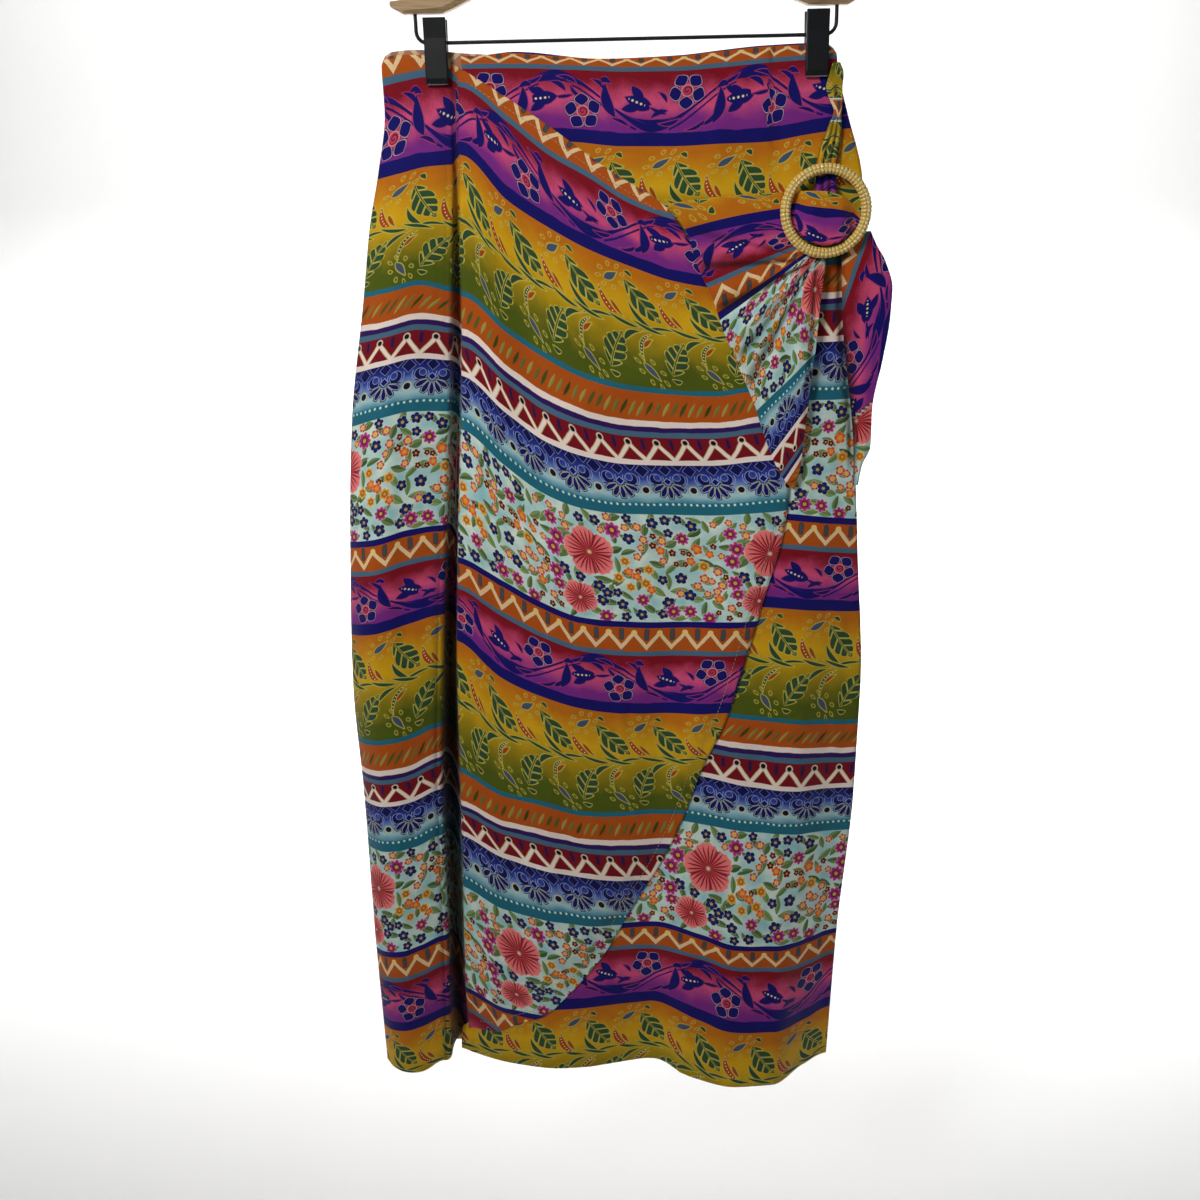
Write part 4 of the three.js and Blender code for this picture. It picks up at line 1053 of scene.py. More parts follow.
def fans(net, u, v, wob, grain):
    t = v + (wob - 0.5) * 8 + (grain - 0.5) * 6
    col = net.mix(t.ramp(229, 243), srgb(26, 30, 120), BLUE)
    col = net.mix(t.ramp(240, 255), col, srgb(176, 206, 210))
    col = net.mix(t.ramp(255, 262), col, srgb(88, 150, 170))
    x = u.mod(41.6) - 20.8
    ax = x.abs()
    line = srgb(176, 190, 214)
    # diamonds at the top, over and between the fans
    for cx, cy, size in ((0, 230.5, 5.2), (20.8, 231.5, 6.0), (11.5, 227, 4.6)):
        d = (ax - cx).abs() + (v - cy).abs() - size
        col = net.mix((d.abs() - 0.22).ink(0.5) * 0.8, net.mix(d.ink(0.5), col, srgb(12, 14, 92)), line)
    # scrolls each side of a fan
    r = net.hypot(ax - 10.2, v - 239.5)
    hollow = net.hypot(ax - 8.6, v - 237.8)
    crescent = (r - 5.2).max(3.4 - hollow)
    col = net.mix(((r - 7.4).abs().max(236.5 - v) - 0.3).ink(0.5) * 0.8, col, line)
    col = net.mix((crescent - 0.5).ink(0.5) * 0.8, col, line)
    col = net.mix(crescent.ink(0.5), col, srgb(16, 18, 100))
    # fan
    fy = v - 242
    fr = net.hypot(x, fy)
    fa = net.m("ARCTAN2", x, fy)
    rib = ((fa.abs() + 0.25).mod(0.5) - 0.25).abs() * fr
    reach = 1 - ((fr - 11.5) / 7.5).abs().min(1)
    blade = (rib - reach.sqrt() * 2.55).max(fr - 16).max(4.2 - fr).max((fa.abs() - 1.3) * fr)
    knob = ax + (v - 241.5).abs() - 3.2
    col = net.mix((blade - 0.9).ink(0.4), col, srgb(20, 26, 96))
    col = net.mix((blade - 0.15).ink(0.4), col, srgb(178, 186, 168))
    col = net.mix((blade + 0.55).ink(0.4), col, NAVY)
    col = net.mix((knob - 0.7).ink(0.4), col, line)
    col = net.mix(knob.ink(0.4), col, NAVY)
    # ringed dots between the fans
    rd = net.hypot(20.8 - ax, v - 250)
    col = net.mix((rd - 4.0).ink(0.6) * 0.8, col, srgb(220, 214, 150))
    col = net.mix((rd - 2.9).ink(0.5), col, srgb(12, 12, 70))
    # teal line with its row of dots
    col = net.mix((262 + (wob - 0.5) - v).ink(1.2), col, TEAL)
    dots = net.hypot(u.mod(5.4) - 2.7, v - 263.6) - 1.15
    return net.mix(dots.ink(0.5), col, srgb(214, 232, 214))


def floral(net, u, v, wob, grain):
    col = net.mix((wob + grain * 0.25).ramp(0.45, 0.8), srgb(220, 230, 218), srgb(160, 204, 206))
    x, y, d, _, _ = lens(net, "C")
    green = net.mix((y.abs() - 0.35).ink(0.5) * 0.6, net.attr("pr_Cc"), srgb(60, 84, 44))
    green = net.mix(y.gt(0) * 0.3, green, srgb(172, 190, 130))
    col = net.mix(d.ink(0.5), col, green)
    for layer in "AB":
        r, theta, phi, d, radius = petals(net, layer, 0.68)
        share = r / radius
        tint = net.attr(f"pr_{layer}c")
        core = net.attr(f"pr_{layer}q")
        shade = net.mix(share.ramp(0.25, 0.75), core, tint)
        col = net.mix((d - 0.5).ink(0.5) * 0.5, col, srgb(236, 226, 204))
        col = net.mix(d.ink(0.5), col, shade)
        col = net.mix((share - 0.24).ink(0.1), col, srgb(222, 176, 60))
    r, theta, phi, d, radius = petals(net, "D", 0.86)
    d = d + (theta * 23).sin() * 0.5 + (wob - 0.5) * 3
    share = r / radius
    body = net.mix(share.ramp(0.3, 1.0), srgb(222, 84, 92), srgb(240, 144, 142))
    body = net.mix(grain.ramp(0.35, 0.75) * 0.4, body, srgb(244, 152, 150))
    vein = ((theta * 25 + share * 9 * (wob - 0.3)).sin() + 1.0 - share * 2.1).ramp(0.0, 0.3)
    body = net.mix(vein * 0.9, body, DEEP_RED)
    body = net.mix((phi.abs() - 0.53).gt(0) * 0.6 * share.ramp(0.15, 0.3), body, srgb(140, 20, 40))
    body = net.mix((share - 0.09).ink(0.08), body, srgb(226, 170, 120))
    col = net.mix((d - 0.7).ink(0.5) * 0.7, col, srgb(240, 190, 176))
    col = net.mix(d.ink(0.5), col, body)
    return col


def zigzag(net, u, v, wob, grain):
    col = net.mix(grain.ramp(0.2, 0.8) * 0.5, ORANGE, srgb(156, 70, 6))
    x = u.mod(22.86) - 11.43
    ax = x.abs()
    stick = net.hypot((11.43 - ax).abs(), ((v - 390).abs() - 4).max(0)) - 1.7
    col = net.mix((stick - 0.5).ink(0.5), col, srgb(110, 66, 30))
    col = net.mix(stick.ink(0.5), col, srgb(84, 92, 100))
    line = v - 388.5 - ax * 1.28
    col = net.mix((line.abs() * 0.62 - 2.35).ink(0.6), col, srgb(150, 84, 24))
    col = net.mix((line.abs() * 0.62 - 1.85).ink(0.6), col, net.mix(grain.ramp(0.25, 0.7), srgb(222, 182, 138), CREAM))
    col = net.mix((net.hypot(x, v - 388) - 2.7).ink(0.6), col, srgb(236, 206, 134))
    col = net.mix((383 + (wob - 0.5) * 1.5 - v).ink(0.5) , NAVY, col)
    return net.mix((407 + (wob - 0.5) * 1.5 - v).ink(0.6), col, STEEL)


NEXT_TO = {
    "vine": (STEEL, AMBER),
    "leaf": (NAVY, ORANGE),
    "dash": (TEAL, CRIMSON),
    "peaks": (STEEL, BLUE),
    "fans": (WHITE, srgb(180, 214, 208)),
    "floral": (TEAL, NAVY),
    "zigzag": (srgb(180, 214, 208), CRIMSON),
}


def printed(name, paint):
    """One band of the printed cloth. Its reverse is the same print, paler."""
    net = Net("cloth_" + name)
    v0, v1 = next((b[1], b[2]) for b in BANDS if b[0] == name)
    mid = (v0 + v1) / 2
    u, v, reverse_and_painted_shade = net.sep(net.attr("pr"))
    flat = net.join(u, v)
    n1, n2, n3 = net.noise3(flat, 0.055, 3)
    grain = net.noise(flat, 0.9, 3, 0.7)
    vb = (v - mid + REPEAT_V / 2).mod(REPEAT_V) - REPEAT_V / 2 + mid
    vw = vb + (n2 - 0.5) * 2.2
    col = paint(net, u + (n1 - 0.5) * 2.2, vw, n3, grain)
    before, after = NEXT_TO[name]
    col = net.mix((vb - v0 + 0.15).ink(0.4), col, before)
    col = net.mix((v1 + 0.15 - vb).ink(0.4), col, after)
    fade = (net.noise(flat, 0.012, 2) - 0.5) * 0.22 + (grain - 0.5) * 0.22 + 1.0
    gamma = net.node("ShaderNodeGamma")
    net.put(col, gamma.inputs[0])
    gamma.inputs[1].default_value = 1.22
    # painted shade: where pr's third value is below 0 the colour is darkened by up to 92 %; the noise in fade is the
    # cloth's own uneven tone
    fade = fade * (reverse_and_painted_shade.min(0) * 0.92 + 1.0) * 1.28
    shade = net.join(fade, fade, fade)
    col = net.mix(1.0, S(net, gamma.outputs[0]), shade, "MULTIPLY")
    col = net.mix(reverse_and_painted_shade.max(0) * 0.42, col, srgb(186, 168, 150))
    threads = (u * 7.1).sin() * 0.5 + (v * 7.1).sin() * 0.5
    slub = net.noise(net.join(u * 0.25, v * 2.4), 1.0, 2)
    return net.end(col, 0.78, threads * 0.4 + slub + grain * 0.5, 0.22, 0.0004, sheen=0.12, spec=0.22)


PAINTS = {"vine": vine, "leaf": leaf, "dash": dash, "peaks": peaks, "fans": fans, "floral": floral, "zigzag": zigzag}
BAND_MATERIALS += [printed(name, PAINTS[name]) for name, _, _ in BANDS]


def thread_material():
    net = Net("sewing_thread")
    p = net.place()
    n = net.noise(p, 1.6, 2)
    col = net.mix(n, srgb(150, 132, 96), srgb(206, 190, 150))
    return net.end(col, 0.7, n, 0.3, 0.0002, sheen=0.2, spec=0.3)


def ring_material():
    """Gilded beads: bright on each bead, brown in the grooves between and along the middle."""
    net = Net("gilded_beads")
    p = net.place()
    x, y, z = net.sep(p)
    dx, dz = x - RING_AT[0], z - RING_AT[1]
    turn = net.m("ARCTAN2", dz, dx)
    ridge = (turn * 33).cos().abs()
    row = (net.hypot(dx, dz) - 33.15).abs()
    # painted shade: the grooves between the beads and along the middle are darkened to brown
    painted_groove_shade = ((0.4 - ridge).ramp(0, 0.4)).max((0.5 - row).ramp(0, 0.5)) * (y + 13.5).lt(0)
    n = net.noise(p, 0.35, 3)
    fine = net.noise(p, 2.2, 2)
    col = net.mix(n.ramp(0.3, 0.7), srgb(255, 206, 96), srgb(255, 234, 150))
    col = net.mix(fine.ramp(0.62, 0.9) * 0.3, col, srgb(190, 130, 50))
    col = net.mix(painted_groove_shade * 0.6, col, srgb(160, 98, 26))
    return net.end(col, n * 0.16 + 0.2, ridge.sqrt() * (row.ramp(0.0, 1.2)), 0.8, 0.0007, spec=0.7, coat=0.4)


def wood_material():
    net = Net("pale_wood")
    x, y, z = net.sep(net.place())
    grain = net.noise(net.join(x * 0.03, y * 0.6, z * 0.9), 1.0, 4, 0.6)
    streak = net.noise(net.join(x * 0.01, y * 1.6, z * 2.2), 1.0, 3)
    col = net.mix(grain.ramp(0.3, 0.72), srgb(166, 130, 88), srgb(214, 184, 140))
    col = net.mix(streak.ramp(0.5, 0.75) * 0.5, col, srgb(142, 104, 66))
    return net.end(col, 0.45, streak, 0.15, 0.0003, spec=0.4, coat=0.2)


def metal_material(name, a, b, rough, metal=1.0):
    net = Net(name)
    p = net.place()
    n = net.noise(p, 0.6, 4, 0.65)
    fine = net.noise(p, 4.0, 2)
    col = net.mix(n.ramp(0.3, 0.75), a, b)
    return net.end(col, (fine - 0.5) * 0.16 + rough, fine, 0.06, 0.0002, metal=metal, spec=0.5)


THREAD_MAT = thread_material()
RING_MAT = ring_material()
WOOD_MAT = wood_material()
STEEL_MAT = metal_material("bright_steel", srgb(176, 180, 184), srgb(206, 208, 210), 0.26)
WIRE_MAT = metal_material("black_wire", srgb(18, 18, 20), srgb(40, 40, 44), 0.42, 0.3)
CLIP_MAT = metal_material("black_clip", srgb(6, 8, 11), srgb(18, 20, 25), 0.42, 0.0)

# ------------------------------------------------------------------ the tie through the ring
RING = {"x": 166.7, "y": -16.0, "z": -277.2, "outer": 37.5, "tube": 4.35}
RING_BAR_R = 2.4
TIE_FAN = """
s xo zo yo xi zi yi
0 43 -275 -7 132 -262.5 -9.9
0.16 57 -294.5 -7.4 132 -281 -9.9
0.32 65.5 -320 -8 133 -298 -9.9
0.45 76 -340.5 -10.5 140 -311 -9.8
0.58 93 -377 -11 146 -319 -9.5
0.7 113 -434 -11 152 -322 -9.5
0.82 138 -497 -12 158 -323.5 -9.5
0.92 150 -509 -12 163 -323.5 -9.5
1 156 -490 -11 168 -322 -9.5"""
# The tie's crosswise threads: where each starts on its left edge and ends on its right.
TIE_ROWS = """
v xl zl xr zr
493 39 -271.6 132.4 -262.6
486 43.5 -275.5 132.3 -265
473 54.8 -291.4 132.3 -274.8
462 58.4 -298.5 136 -282.5
440 63.5 -314 143 -294
412 73 -335.3 148 -303
407 75.5 -339 149.5 -305
383 83.5 -359 154 -309.5
377 85.5 -365 156.5 -310.5
340 96 -391 165 -313
325 100 -403 169 -318
300 107.5 -421.1 166.4 -348.4
273 115.6 -440.5 163.5 -392.2
262 118.3 -449.1 162.3 -400.5
226 129.6 -478.6 159.6 -436
201 138 -495.2 157 -466.1
178 147 -506.5 155.3 -490
166 150.5 -508.8 154 -497"""
TIE_BAND = """
x top low
132.5 -262.5 -292
137 -262.2 -293
143 -262 -291.5
147 -261.6 -296.5
152 -261.5 -300.5
166.7 -262 -304.5
181.4 -266.5 -300.5
186.4 -270 -296.5
190 -273 -291.7
199 -284 -291"""
TIE_END = """
z left right y
-293 192 205.5 -8.6
-304 188.5 211 -8.8
-317 183 219 -9
-340 184 226.3 -9
-362 185.5 226 -8.4
-397 190 222 -8
-440 197 215.5 -7.5
-472 201 216 -7
-489 202 209.5 -7
-506 202.5 207 -7"""
STRAP = """
z x half y
-163 171.5 3 -4.6
-170 172 5.4 -5.2
-181 170.5 6.6 -6
-192 172.5 5 -6.2
-199 174 3.2 -6.2
-214 172 6 -6.4
-229 168.5 8 -7.4
-243 166.5 8.5 -9
-255 166.7 8.6 -9.5
-263.5 167 10.5 -9.3"""


# ------------------------------------------------------------------ overlap front panel
LAP_RIGHT = 147.0


def lap_station(x, z):
    r = lipr_at(z)
    return 2 + np.clip((x - r) / (LAP_RIGHT - r), 0, 1)


def tube_x(q, z):
    return mixed(left_at(z), lipl_at(z) - LIP_RADIUS, q)


def tube_station(q, z):
    w = lipl_at(z) - left_at(z)
    return q * (w - LIP_RADIUS) / w


def fold_station(q, z):
    w = lipl_at(z) - left_at(z)
    a = 1 - LIP_RADIUS / w
    b = 2 + LIP_RADIUS / (LAP_RIGHT - lipr_at(z))
    return np.where(q < 0.3, mixed(a, 1, q / 0.3), np.where(q > 0.7, mixed(2, b, (q - 0.7) / 0.3), 1 + (q - 0.3) / 0.4))


def settle(station, v, turns=9):
    """The height of a point whose station across depends a little on its height."""
    z = -176.0 - v
    for _ in range(turns):
        z = overlap_weft(station(z), v)
    return z


def crossing(v, g):
    """The first v where g falls below 0, for each column of g (columns along the second axis)."""
    below = g < 0
    k = np.where(below.any(0), below.argmax(0), len(v) - 1)
    k = np.maximum(k, 1)
    j = np.arange(g.shape[1])
    a, b = g[k - 1, j], g[k, j]
    t = np.clip(a / np.where(np.abs(a - b) < 1e-9, 1, a - b), 0, 1)
    return v[k - 1] + (v[k] - v[k - 1]) * t


VV = np.arange(-90, 1010, 2.0)


def overlap_y(x, z):
    return front_over(x, z) + creases(x, z)


def make_overlap():
    rows = mesh_rows(-34, 944)
    tq = np.linspace(0, 1, 23)
    tq = mixed(tq, 1 - np.cos(tq * math.pi / 2), 0.35)
    fq = np.concatenate([np.linspace(0, 0.3, 7)[1:], np.linspace(0.3, 0.7, 13)[1:], np.linspace(0.7, 1, 7)[1:]])
    lq = np.linspace(0, 1, 77)[1:]
    v2 = np.broadcast_to(VV[:, None], (len(VV), len(tq)))
    zt = settle(lambda z: tube_station(tq[None, :], z), v2)
    xt = tube_x(tq[None, :], zt)
    top_t = crossing(VV, zt - over_top(xt))
    bot_t = crossing(VV, zt - mixed(hem_at(xt), -1086, smooth((tq[None, :] - 0.6) / 0.4)))
    v2 = np.broadcast_to(VV[:, None], (len(VV), len(fq)))
    zf = settle(lambda z: fold_station(fq[None, :], z), v2)
    top_f = crossing(VV, zf - mixed(over_top(-146), over_top(-127), fq)[None, :])
    bot_f = crossing(VV, zf - mixed(-1086, free_edge(-144), smooth(fq))[None, :])
    xs = np.arange(-146, LAP_RIGHT + 0.01, 0.5)
    v2 = np.broadcast_to(VV[:, None], (len(VV), len(xs)))
    zl = settle(lambda z: lap_station(xs[None, :], z), v2)
    top_l = crossing(VV, zl - over_top(xs)[None, :])
    bot_l = crossing(VV, zl - free_edge(xs)[None, :])
    x_end = []
    for v in rows:
        w = max(v, 4)
        ok = np.nonzero((top_l <= w) & (w <= bot_l))[0]
        if not len(ok):
            x_end.append(-146.0 if v > 400 else LAP_RIGHT)
            continue
        k = ok[-1]
        x = xs[k]
        if k + 1 < len(xs):
            for lim in (top_l, bot_l):
                a, b = lim[k] - w, lim[k + 1] - w
                if a * b < 0:
                    x = xs[k] + 0.5 * a / (a - b)
        x_end.append(x)
    x_end = np.array(x_end)[:, None]
    v = rows[:, None]
    vt = np.clip(v, top_t[None, :], bot_t[None, :])
    z = settle(lambda zz: tube_station(tq[None, :], zz), vt)
    pt = np.stack([tube_x(tq[None, :], z), tube_depth(tq[None, :], z), z], -1)
    pt[..., 1] += (CLOTH) * (1 - smooth((pt[..., 0] - left_at(z)) / 9))
    pt[..., 1] += creases(pt[..., 0], z) * smooth((pt[..., 0] - left_at(z)) / 12) * (1 - 0.6 * smooth((tq[None, :] - 0.8) / 0.2))
    vf = np.clip(v, top_f[None, :], bot_f[None, :])
    z = settle(lambda zz: fold_station(fq[None, :], zz), vf)
    x, y = fold_point(fq[None, :], z)
    w = np.where(fq < 0.5, 0.4 * (1 - fq / 0.3), (fq - 0.7) / 0.3)
    y = y + creases(x, z) * np.clip(w, 0, 1)[None, :]
    pf = np.stack([x, y, z], -1)
    z = -176.0 - v + 0 * lq[None, :]
    for _ in range(10):
        x0 = lipr_at(z) + LIP_RADIUS
        x = mixed(x0, np.maximum(x_end, x0), lq[None, :])
        vl = np.clip(v, np.interp(x, xs, top_l), np.interp(x, xs, bot_l))
        z = overlap_weft(lap_station(x, z), vl)
    pl = np.stack([x, overlap_y(x, z), z], -1)
    p = np.concatenate([pt, pf, pl], 1)
    vv = np.concatenate([vt, vf, vl], 1)
    nt, nf = len(tq), len(fq)
    arc = arc_along(p)
    mid = nt + nf // 2
    from_lap = arc - arc[:, nt + nf - 1 : nt + nf]
    u = np.where(np.arange(p.shape[1])[None, :] < mid, arc + shift_tube(vv), from_lap + shift_lap(vv))
    # painted shade: darker in the deep fold's groove and on the tube's edge beside it, more so towards the hem
    deep = np.zeros(p.shape[:2])
    zf = pf[..., 2]
    deep[:, nt : nt + nf] = np.exp(-(((fq[None, :] - 0.46) / 0.25) ** 2)) * (0.4 + 0.55 * smooth((-zf - 500) / 160))
    deep[:, :nt] = 0.75 * np.exp(-(1 - tq[None, :]) / 0.05) * (0.25 + 0.6 * smooth((-pt[..., 2] - 500) / 160))
    obj = cloth("overlap_panel", p, np.stack([u, vv], -1), rows, depth=deep)
    area = float(np.linalg.norm(np.cross(p[1:, 1:] - p[:-1, :-1], p[1:, :-1] - p[:-1, 1:]), axis=2).sum() / 2) / 1e6
    return obj, area


def make_under():
    rows = mesh_rows(-42, 952)
    q = np.linspace(0, 1, 84)
    q = mixed(q, np.sin(q * math.pi / 2), 0.25)[None, :]
    v2 = np.broadcast_to(VV[:, None], (len(VV), q.shape[1]))

    def solve(v):
        z = -165.0 - v + 0 * q
        for _ in range(9):
            x = mixed(under_left(z), right_at(z), q)
            z = under_weft(x, v)
        return mixed(under_left(z), right_at(z), q), z

    x, z = solve(v2)
    top, bot = crossing(VV, z - under_top(x)), crossing(VV, z - hem_at(x))
    v = np.clip(rows[:, None], top[None, :], bot[None, :])
    x, z = solve(v)
    near = smooth((right_at(z) - x) / 24)
    edge = seamr_at(z) - 0.28
    y = mixed(seamr_at(z) - HALF_SEAM - CLOTH, front_under(x, z), near)
    y = y + creases(x, z) * smooth((right_at(z) - x) / 16)
    y = mixed(edge, y, smooth((right_at(z) - x) / 8))
    # the stitched dart near the right clip
    dart = 119 + 3 * smooth((-z - 152) / 110)
    fade = 1 - smooth((v - 40) / 70)
    y = y + 0.7 * np.exp(-(((x - dart) / 2.2) ** 2)) * fade
    p = np.stack([x, y, z], -1)
    u = x + shift_under(v) + np.where(x > dart, 3.4, -5.3) * fade
    # painted shadow: a dark line on the under panel along the hanging tie end's left edge
    side = curve(TIE_END, "z", "left")(z) - 1.5
    painted_edge_shadow = 0.98 * np.exp(-(((x - side) / 2.4) ** 2)) * smooth((-z - 288) / 10) * (1 - smooth((-z - 480) / 20))
    # painted shade along the dart's crease
    painted_dart_shade = 0.35 * np.exp(-(((x - dart) / 1.0) ** 2)) * fade
    obj = cloth("under_panel", p, np.stack([u, v], -1), rows, depth=np.clip(painted_edge_shadow + painted_dart_shade, 0, 0.9))
    area = float(np.linalg.norm(np.cross(p[1:, 1:] - p[:-1, :-1], p[1:, :-1] - p[:-1, 1:]), axis=2).sum() / 2) / 1e6
    return obj, area


def make_back():
    rows = mesh_rows(-26, 940, 5.0)
    q = np.linspace(0, 1, 72)
    q = mixed(q, 0.5 - 0.5 * np.cos(q * math.pi), 0.35)[None, :]

    def solve(v):
        x = mixed(-196, 176, q) + 0 * v
        for _ in range(6):
            z = -172 - v + 5 * np.sin(x / 90 + 1) * smooth((v + 20) / 300)
            x = mixed(left_at(z), right_at(z), q)
        return x, z

    x, z = solve(np.broadcast_to(VV[:, None], (len(VV), q.shape[1])))
    top, bot = crossing(VV, z - back_top(x)), crossing(VV, z - hem_at(x))
    v = np.clip(rows[:, None], top[None, :], bot[None, :])
    x, z = solve(v)
    round_ = 1 - np.abs(2 * q - 1) ** 5
    wave = 2.2 * np.sin(q * 17 + 0.6) * np.clip((-z - 220) / 700, 0, 1) * round_
    soft = 0.8 * np.sin(x / 19 + z / 130 + 1) + 0.7 * np.sin(x / 34 - z / 90) + 0.4 * np.sin(z / 21 + x / 60)
    soft = soft + 1.2 * np.exp(-(((x - 20 + z * 0.05) / 13) ** 2)) - 1.3 * np.exp(-(((x + 90 - z * 0.03) / 15) ** 2))
    y = mixed(seaml_at(z), seamr_at(z), q) + HALF_SEAM + back_depth(z) * round_ + wave
    fold = sum(
        a * np.exp(-(((x - c - lean * (z + 600)) / w) ** 2)) * smooth((-z - top) / 120) * (1 - smooth((-z - low) / 160))
        for c, lean, w, a, top, low in (
            (-150, 0.03, 11, 2.2, 260, 900), (-96, -0.04, 9, -1.8, 420, 1010), (-38, 0.05, 13, 2.4, 330, 1090),
            (24, -0.02, 10, -2.0, 560, 1100), (71, 0.06, 12, 2.0, 250, 820), (128, -0.03, 10, 2.3, 480, 1090),
        )
    )
    y = y + (soft * 1.2 + np.maximum(fold, -1.2)) * smooth((-z - 190) / 80) * round_ + 0.9 * round_
    p = np.stack([x, y, z], -1)
    u = arc_along(p) - 30
    obj = cloth("back_panel_cloth", p, np.stack([u, v], -1), rows, flip=True)
    area = float(np.linalg.norm(np.cross(p[1:, 1:] - p[:-1, :-1], p[1:, :-1] - p[:-1, 1:]), axis=2).sum() / 2) / 1e6
    return obj, area


def fan_depth():
    """The tie fan's depth over the front, from the shape that it is packed with."""
    from mathutils.kdtree import KDTree

    f = {k: curve(TIE_FAN, "s", k) for k in ("xo", "zo", "yo", "xi", "zi", "yi")}
    s, r = np.meshgrid(np.linspace(0, 1, 260), np.linspace(0, 1, 90), indexing="ij")
    x, z = mixed(f["xo"](s), f["xi"](s), r), mixed(f["zo"](s), f["zi"](s), r)
    free = mixed(f["yo"](s), f["yi"](s), r) - 2.4 * np.sin(math.pi * r) - 1.4
    y = np.minimum(free, front_over(x, z) - 1.25 * CLOTH - 0.5)
    tree = KDTree(x.size)
    fx, fy, fz = x.ravel(), y.ravel(), z.ravel()
    for i in range(x.size):
        tree.insert((fx[i], fz[i], 0), i)
    tree.balance()

    def depth(px, pz):
        out = np.empty(px.size)
        for i, (a, b) in enumerate(zip(px.ravel(), pz.ravel())):
            hit = tree.find_n((a, b, 0), 6)
            w = np.array([1 / (0.4 + h[2]) for h in hit])
            out[i] = (w * fy[[h[1] for h in hit]]).sum() / w.sum()
        return out.reshape(px.shape)

    return depth


def make_fan():
    v = mesh_rows(166, 493, 2.6)[::-1]
    at = {k: curve(TIE_ROWS, "v", k) for k in ("xl", "zl", "xr", "zr")}
    q = np.linspace(0, 1, 44)[None, :]
    vc = v[:, None]
    x = mixed(at["xl"](vc) - 3.2 * smooth((vc - 300) / 60), at["xr"](vc), q)
    z = mixed(at["zl"](vc), at["zr"](vc), q) + 1.6 * np.sin(q * math.pi) * smooth((vc - 380) / 60)
    y = fan_depth()(x, z)
    # soft pleats that run out from where the ring gathers the cloth
    dx, dz = x - 161, z + 316
    rho, phi = np.hypot(dx, dz), np.arctan2(-dz, -dx)
    pleat = np.sin(13 * phi + 1.6 * np.sin(2.3 * phi)) * 1.25 + 0.7 * np.sin(29 * phi + 1)
    fade = smooth(rho / 12) * (1 - smooth((rho - 70) / 130)) * smooth((phi + 0.5) / 0.5)
    edge = smooth(q * 12) * smooth((1 - q) * 16)
    y = y - 0.75 * fade + 0.9 * pleat * fade * (0.35 + 0.65 * edge)
    y = y + 0.35 * np.sin(x / 8 + z / 11) * edge
    u = (arc_along(np.stack([x, y, z], -1)) * (1.0 + 0.25 * smooth((400 - vc) / 80)) + 52 - 0.1 * vc)
    p = np.stack([x, y, z], -1)
    # painted shade in the pleats' troughs and where the ring gathers the cloth
    deep = smooth((pleat - 0.55) / 0.9) * 0.8 * fade * (0.25 + 0.75 * edge) + 0.3 * np.exp(-((rho / 14) ** 2))
    obj = cloth("tie_fan_cloth", p, np.stack([u, vc + 0 * u], -1), v, depth=np.clip(deep, 0, 0.85))
    return obj


def make_band():
    top, low = curve(TIE_BAND, "x", "top"), curve(TIE_BAND, "x", "low")
    v = mesh_rows(428, 493, 2.2)[::-1]
    t = ((493 - v) / 65)[:, None]
    x = np.linspace(132.5, 199, 54)[None, :]
    z = mixed(top(x), low(x), t)
    rise = smooth((28.5 - np.abs(x - RING["x"])) / 18)
    y = mixed(-11.4, RING["y"] - RING_BAR_R - CLOTH - 0.45, rise) - CLOTH * 0.05
    y = y - 0.9 * rise * np.sin(t * math.pi) + 0.45 * np.sin(t * 17 + x / 14) * rise
    p = np.stack([x + 0 * z, y + 0 * z, z], -1)
    u = arc_along(p) + 96
    return cloth("tie_band_cloth", p, np.stack([u, v[:, None] + 0 * u], -1), v)


def make_end():
    l, r, d = (curve(TIE_END, "z", k) for k in ("left", "right", "y"))
    z = np.linspace(-293, -506, 74)[:, None]
    q = np.linspace(0, 1, 22)[None, :]
    x = mixed(l(z), r(z), q)
    swell = (0.3 + 1.3 * smooth((-z - 300) / 50)) * np.sin(math.pi * q)
    y = d(z) - swell - 1.1 + 0.45 * np.sin(q * 9 + z / 23) * np.sin(math.pi * q)
    v = 387 + (x - 184) * 1.3 + 0.34 * np.minimum(-z - 300, 70) + 0.06 * (-z - 300)
    v = np.where(-z + (x - 205) * 0.8 > 442, 306 + (x - 197) * 1.2, v)
    # painted shade: darker along the tie end's left side, more so lower down, and at its left edge
    deep = 0.95 * (1 - smooth(q / 0.42)) * smooth((-z - 355) / 60) + 0.6 * (1 - smooth(q / 0.1)) + 0 * x
    p = np.stack([x, y, z + 0 * x], -1)
    u = -z + 8 + 0 * x
    strips = (v[:-1, :-1] + v[:-1, 1:] + v[1:, :-1] + v[1:, 1:]) / 4
    return cloth("tie_end_cloth", p, np.stack([u, v], -1), strips, per_face=True, depth=np.clip(deep, 0, 0.96))


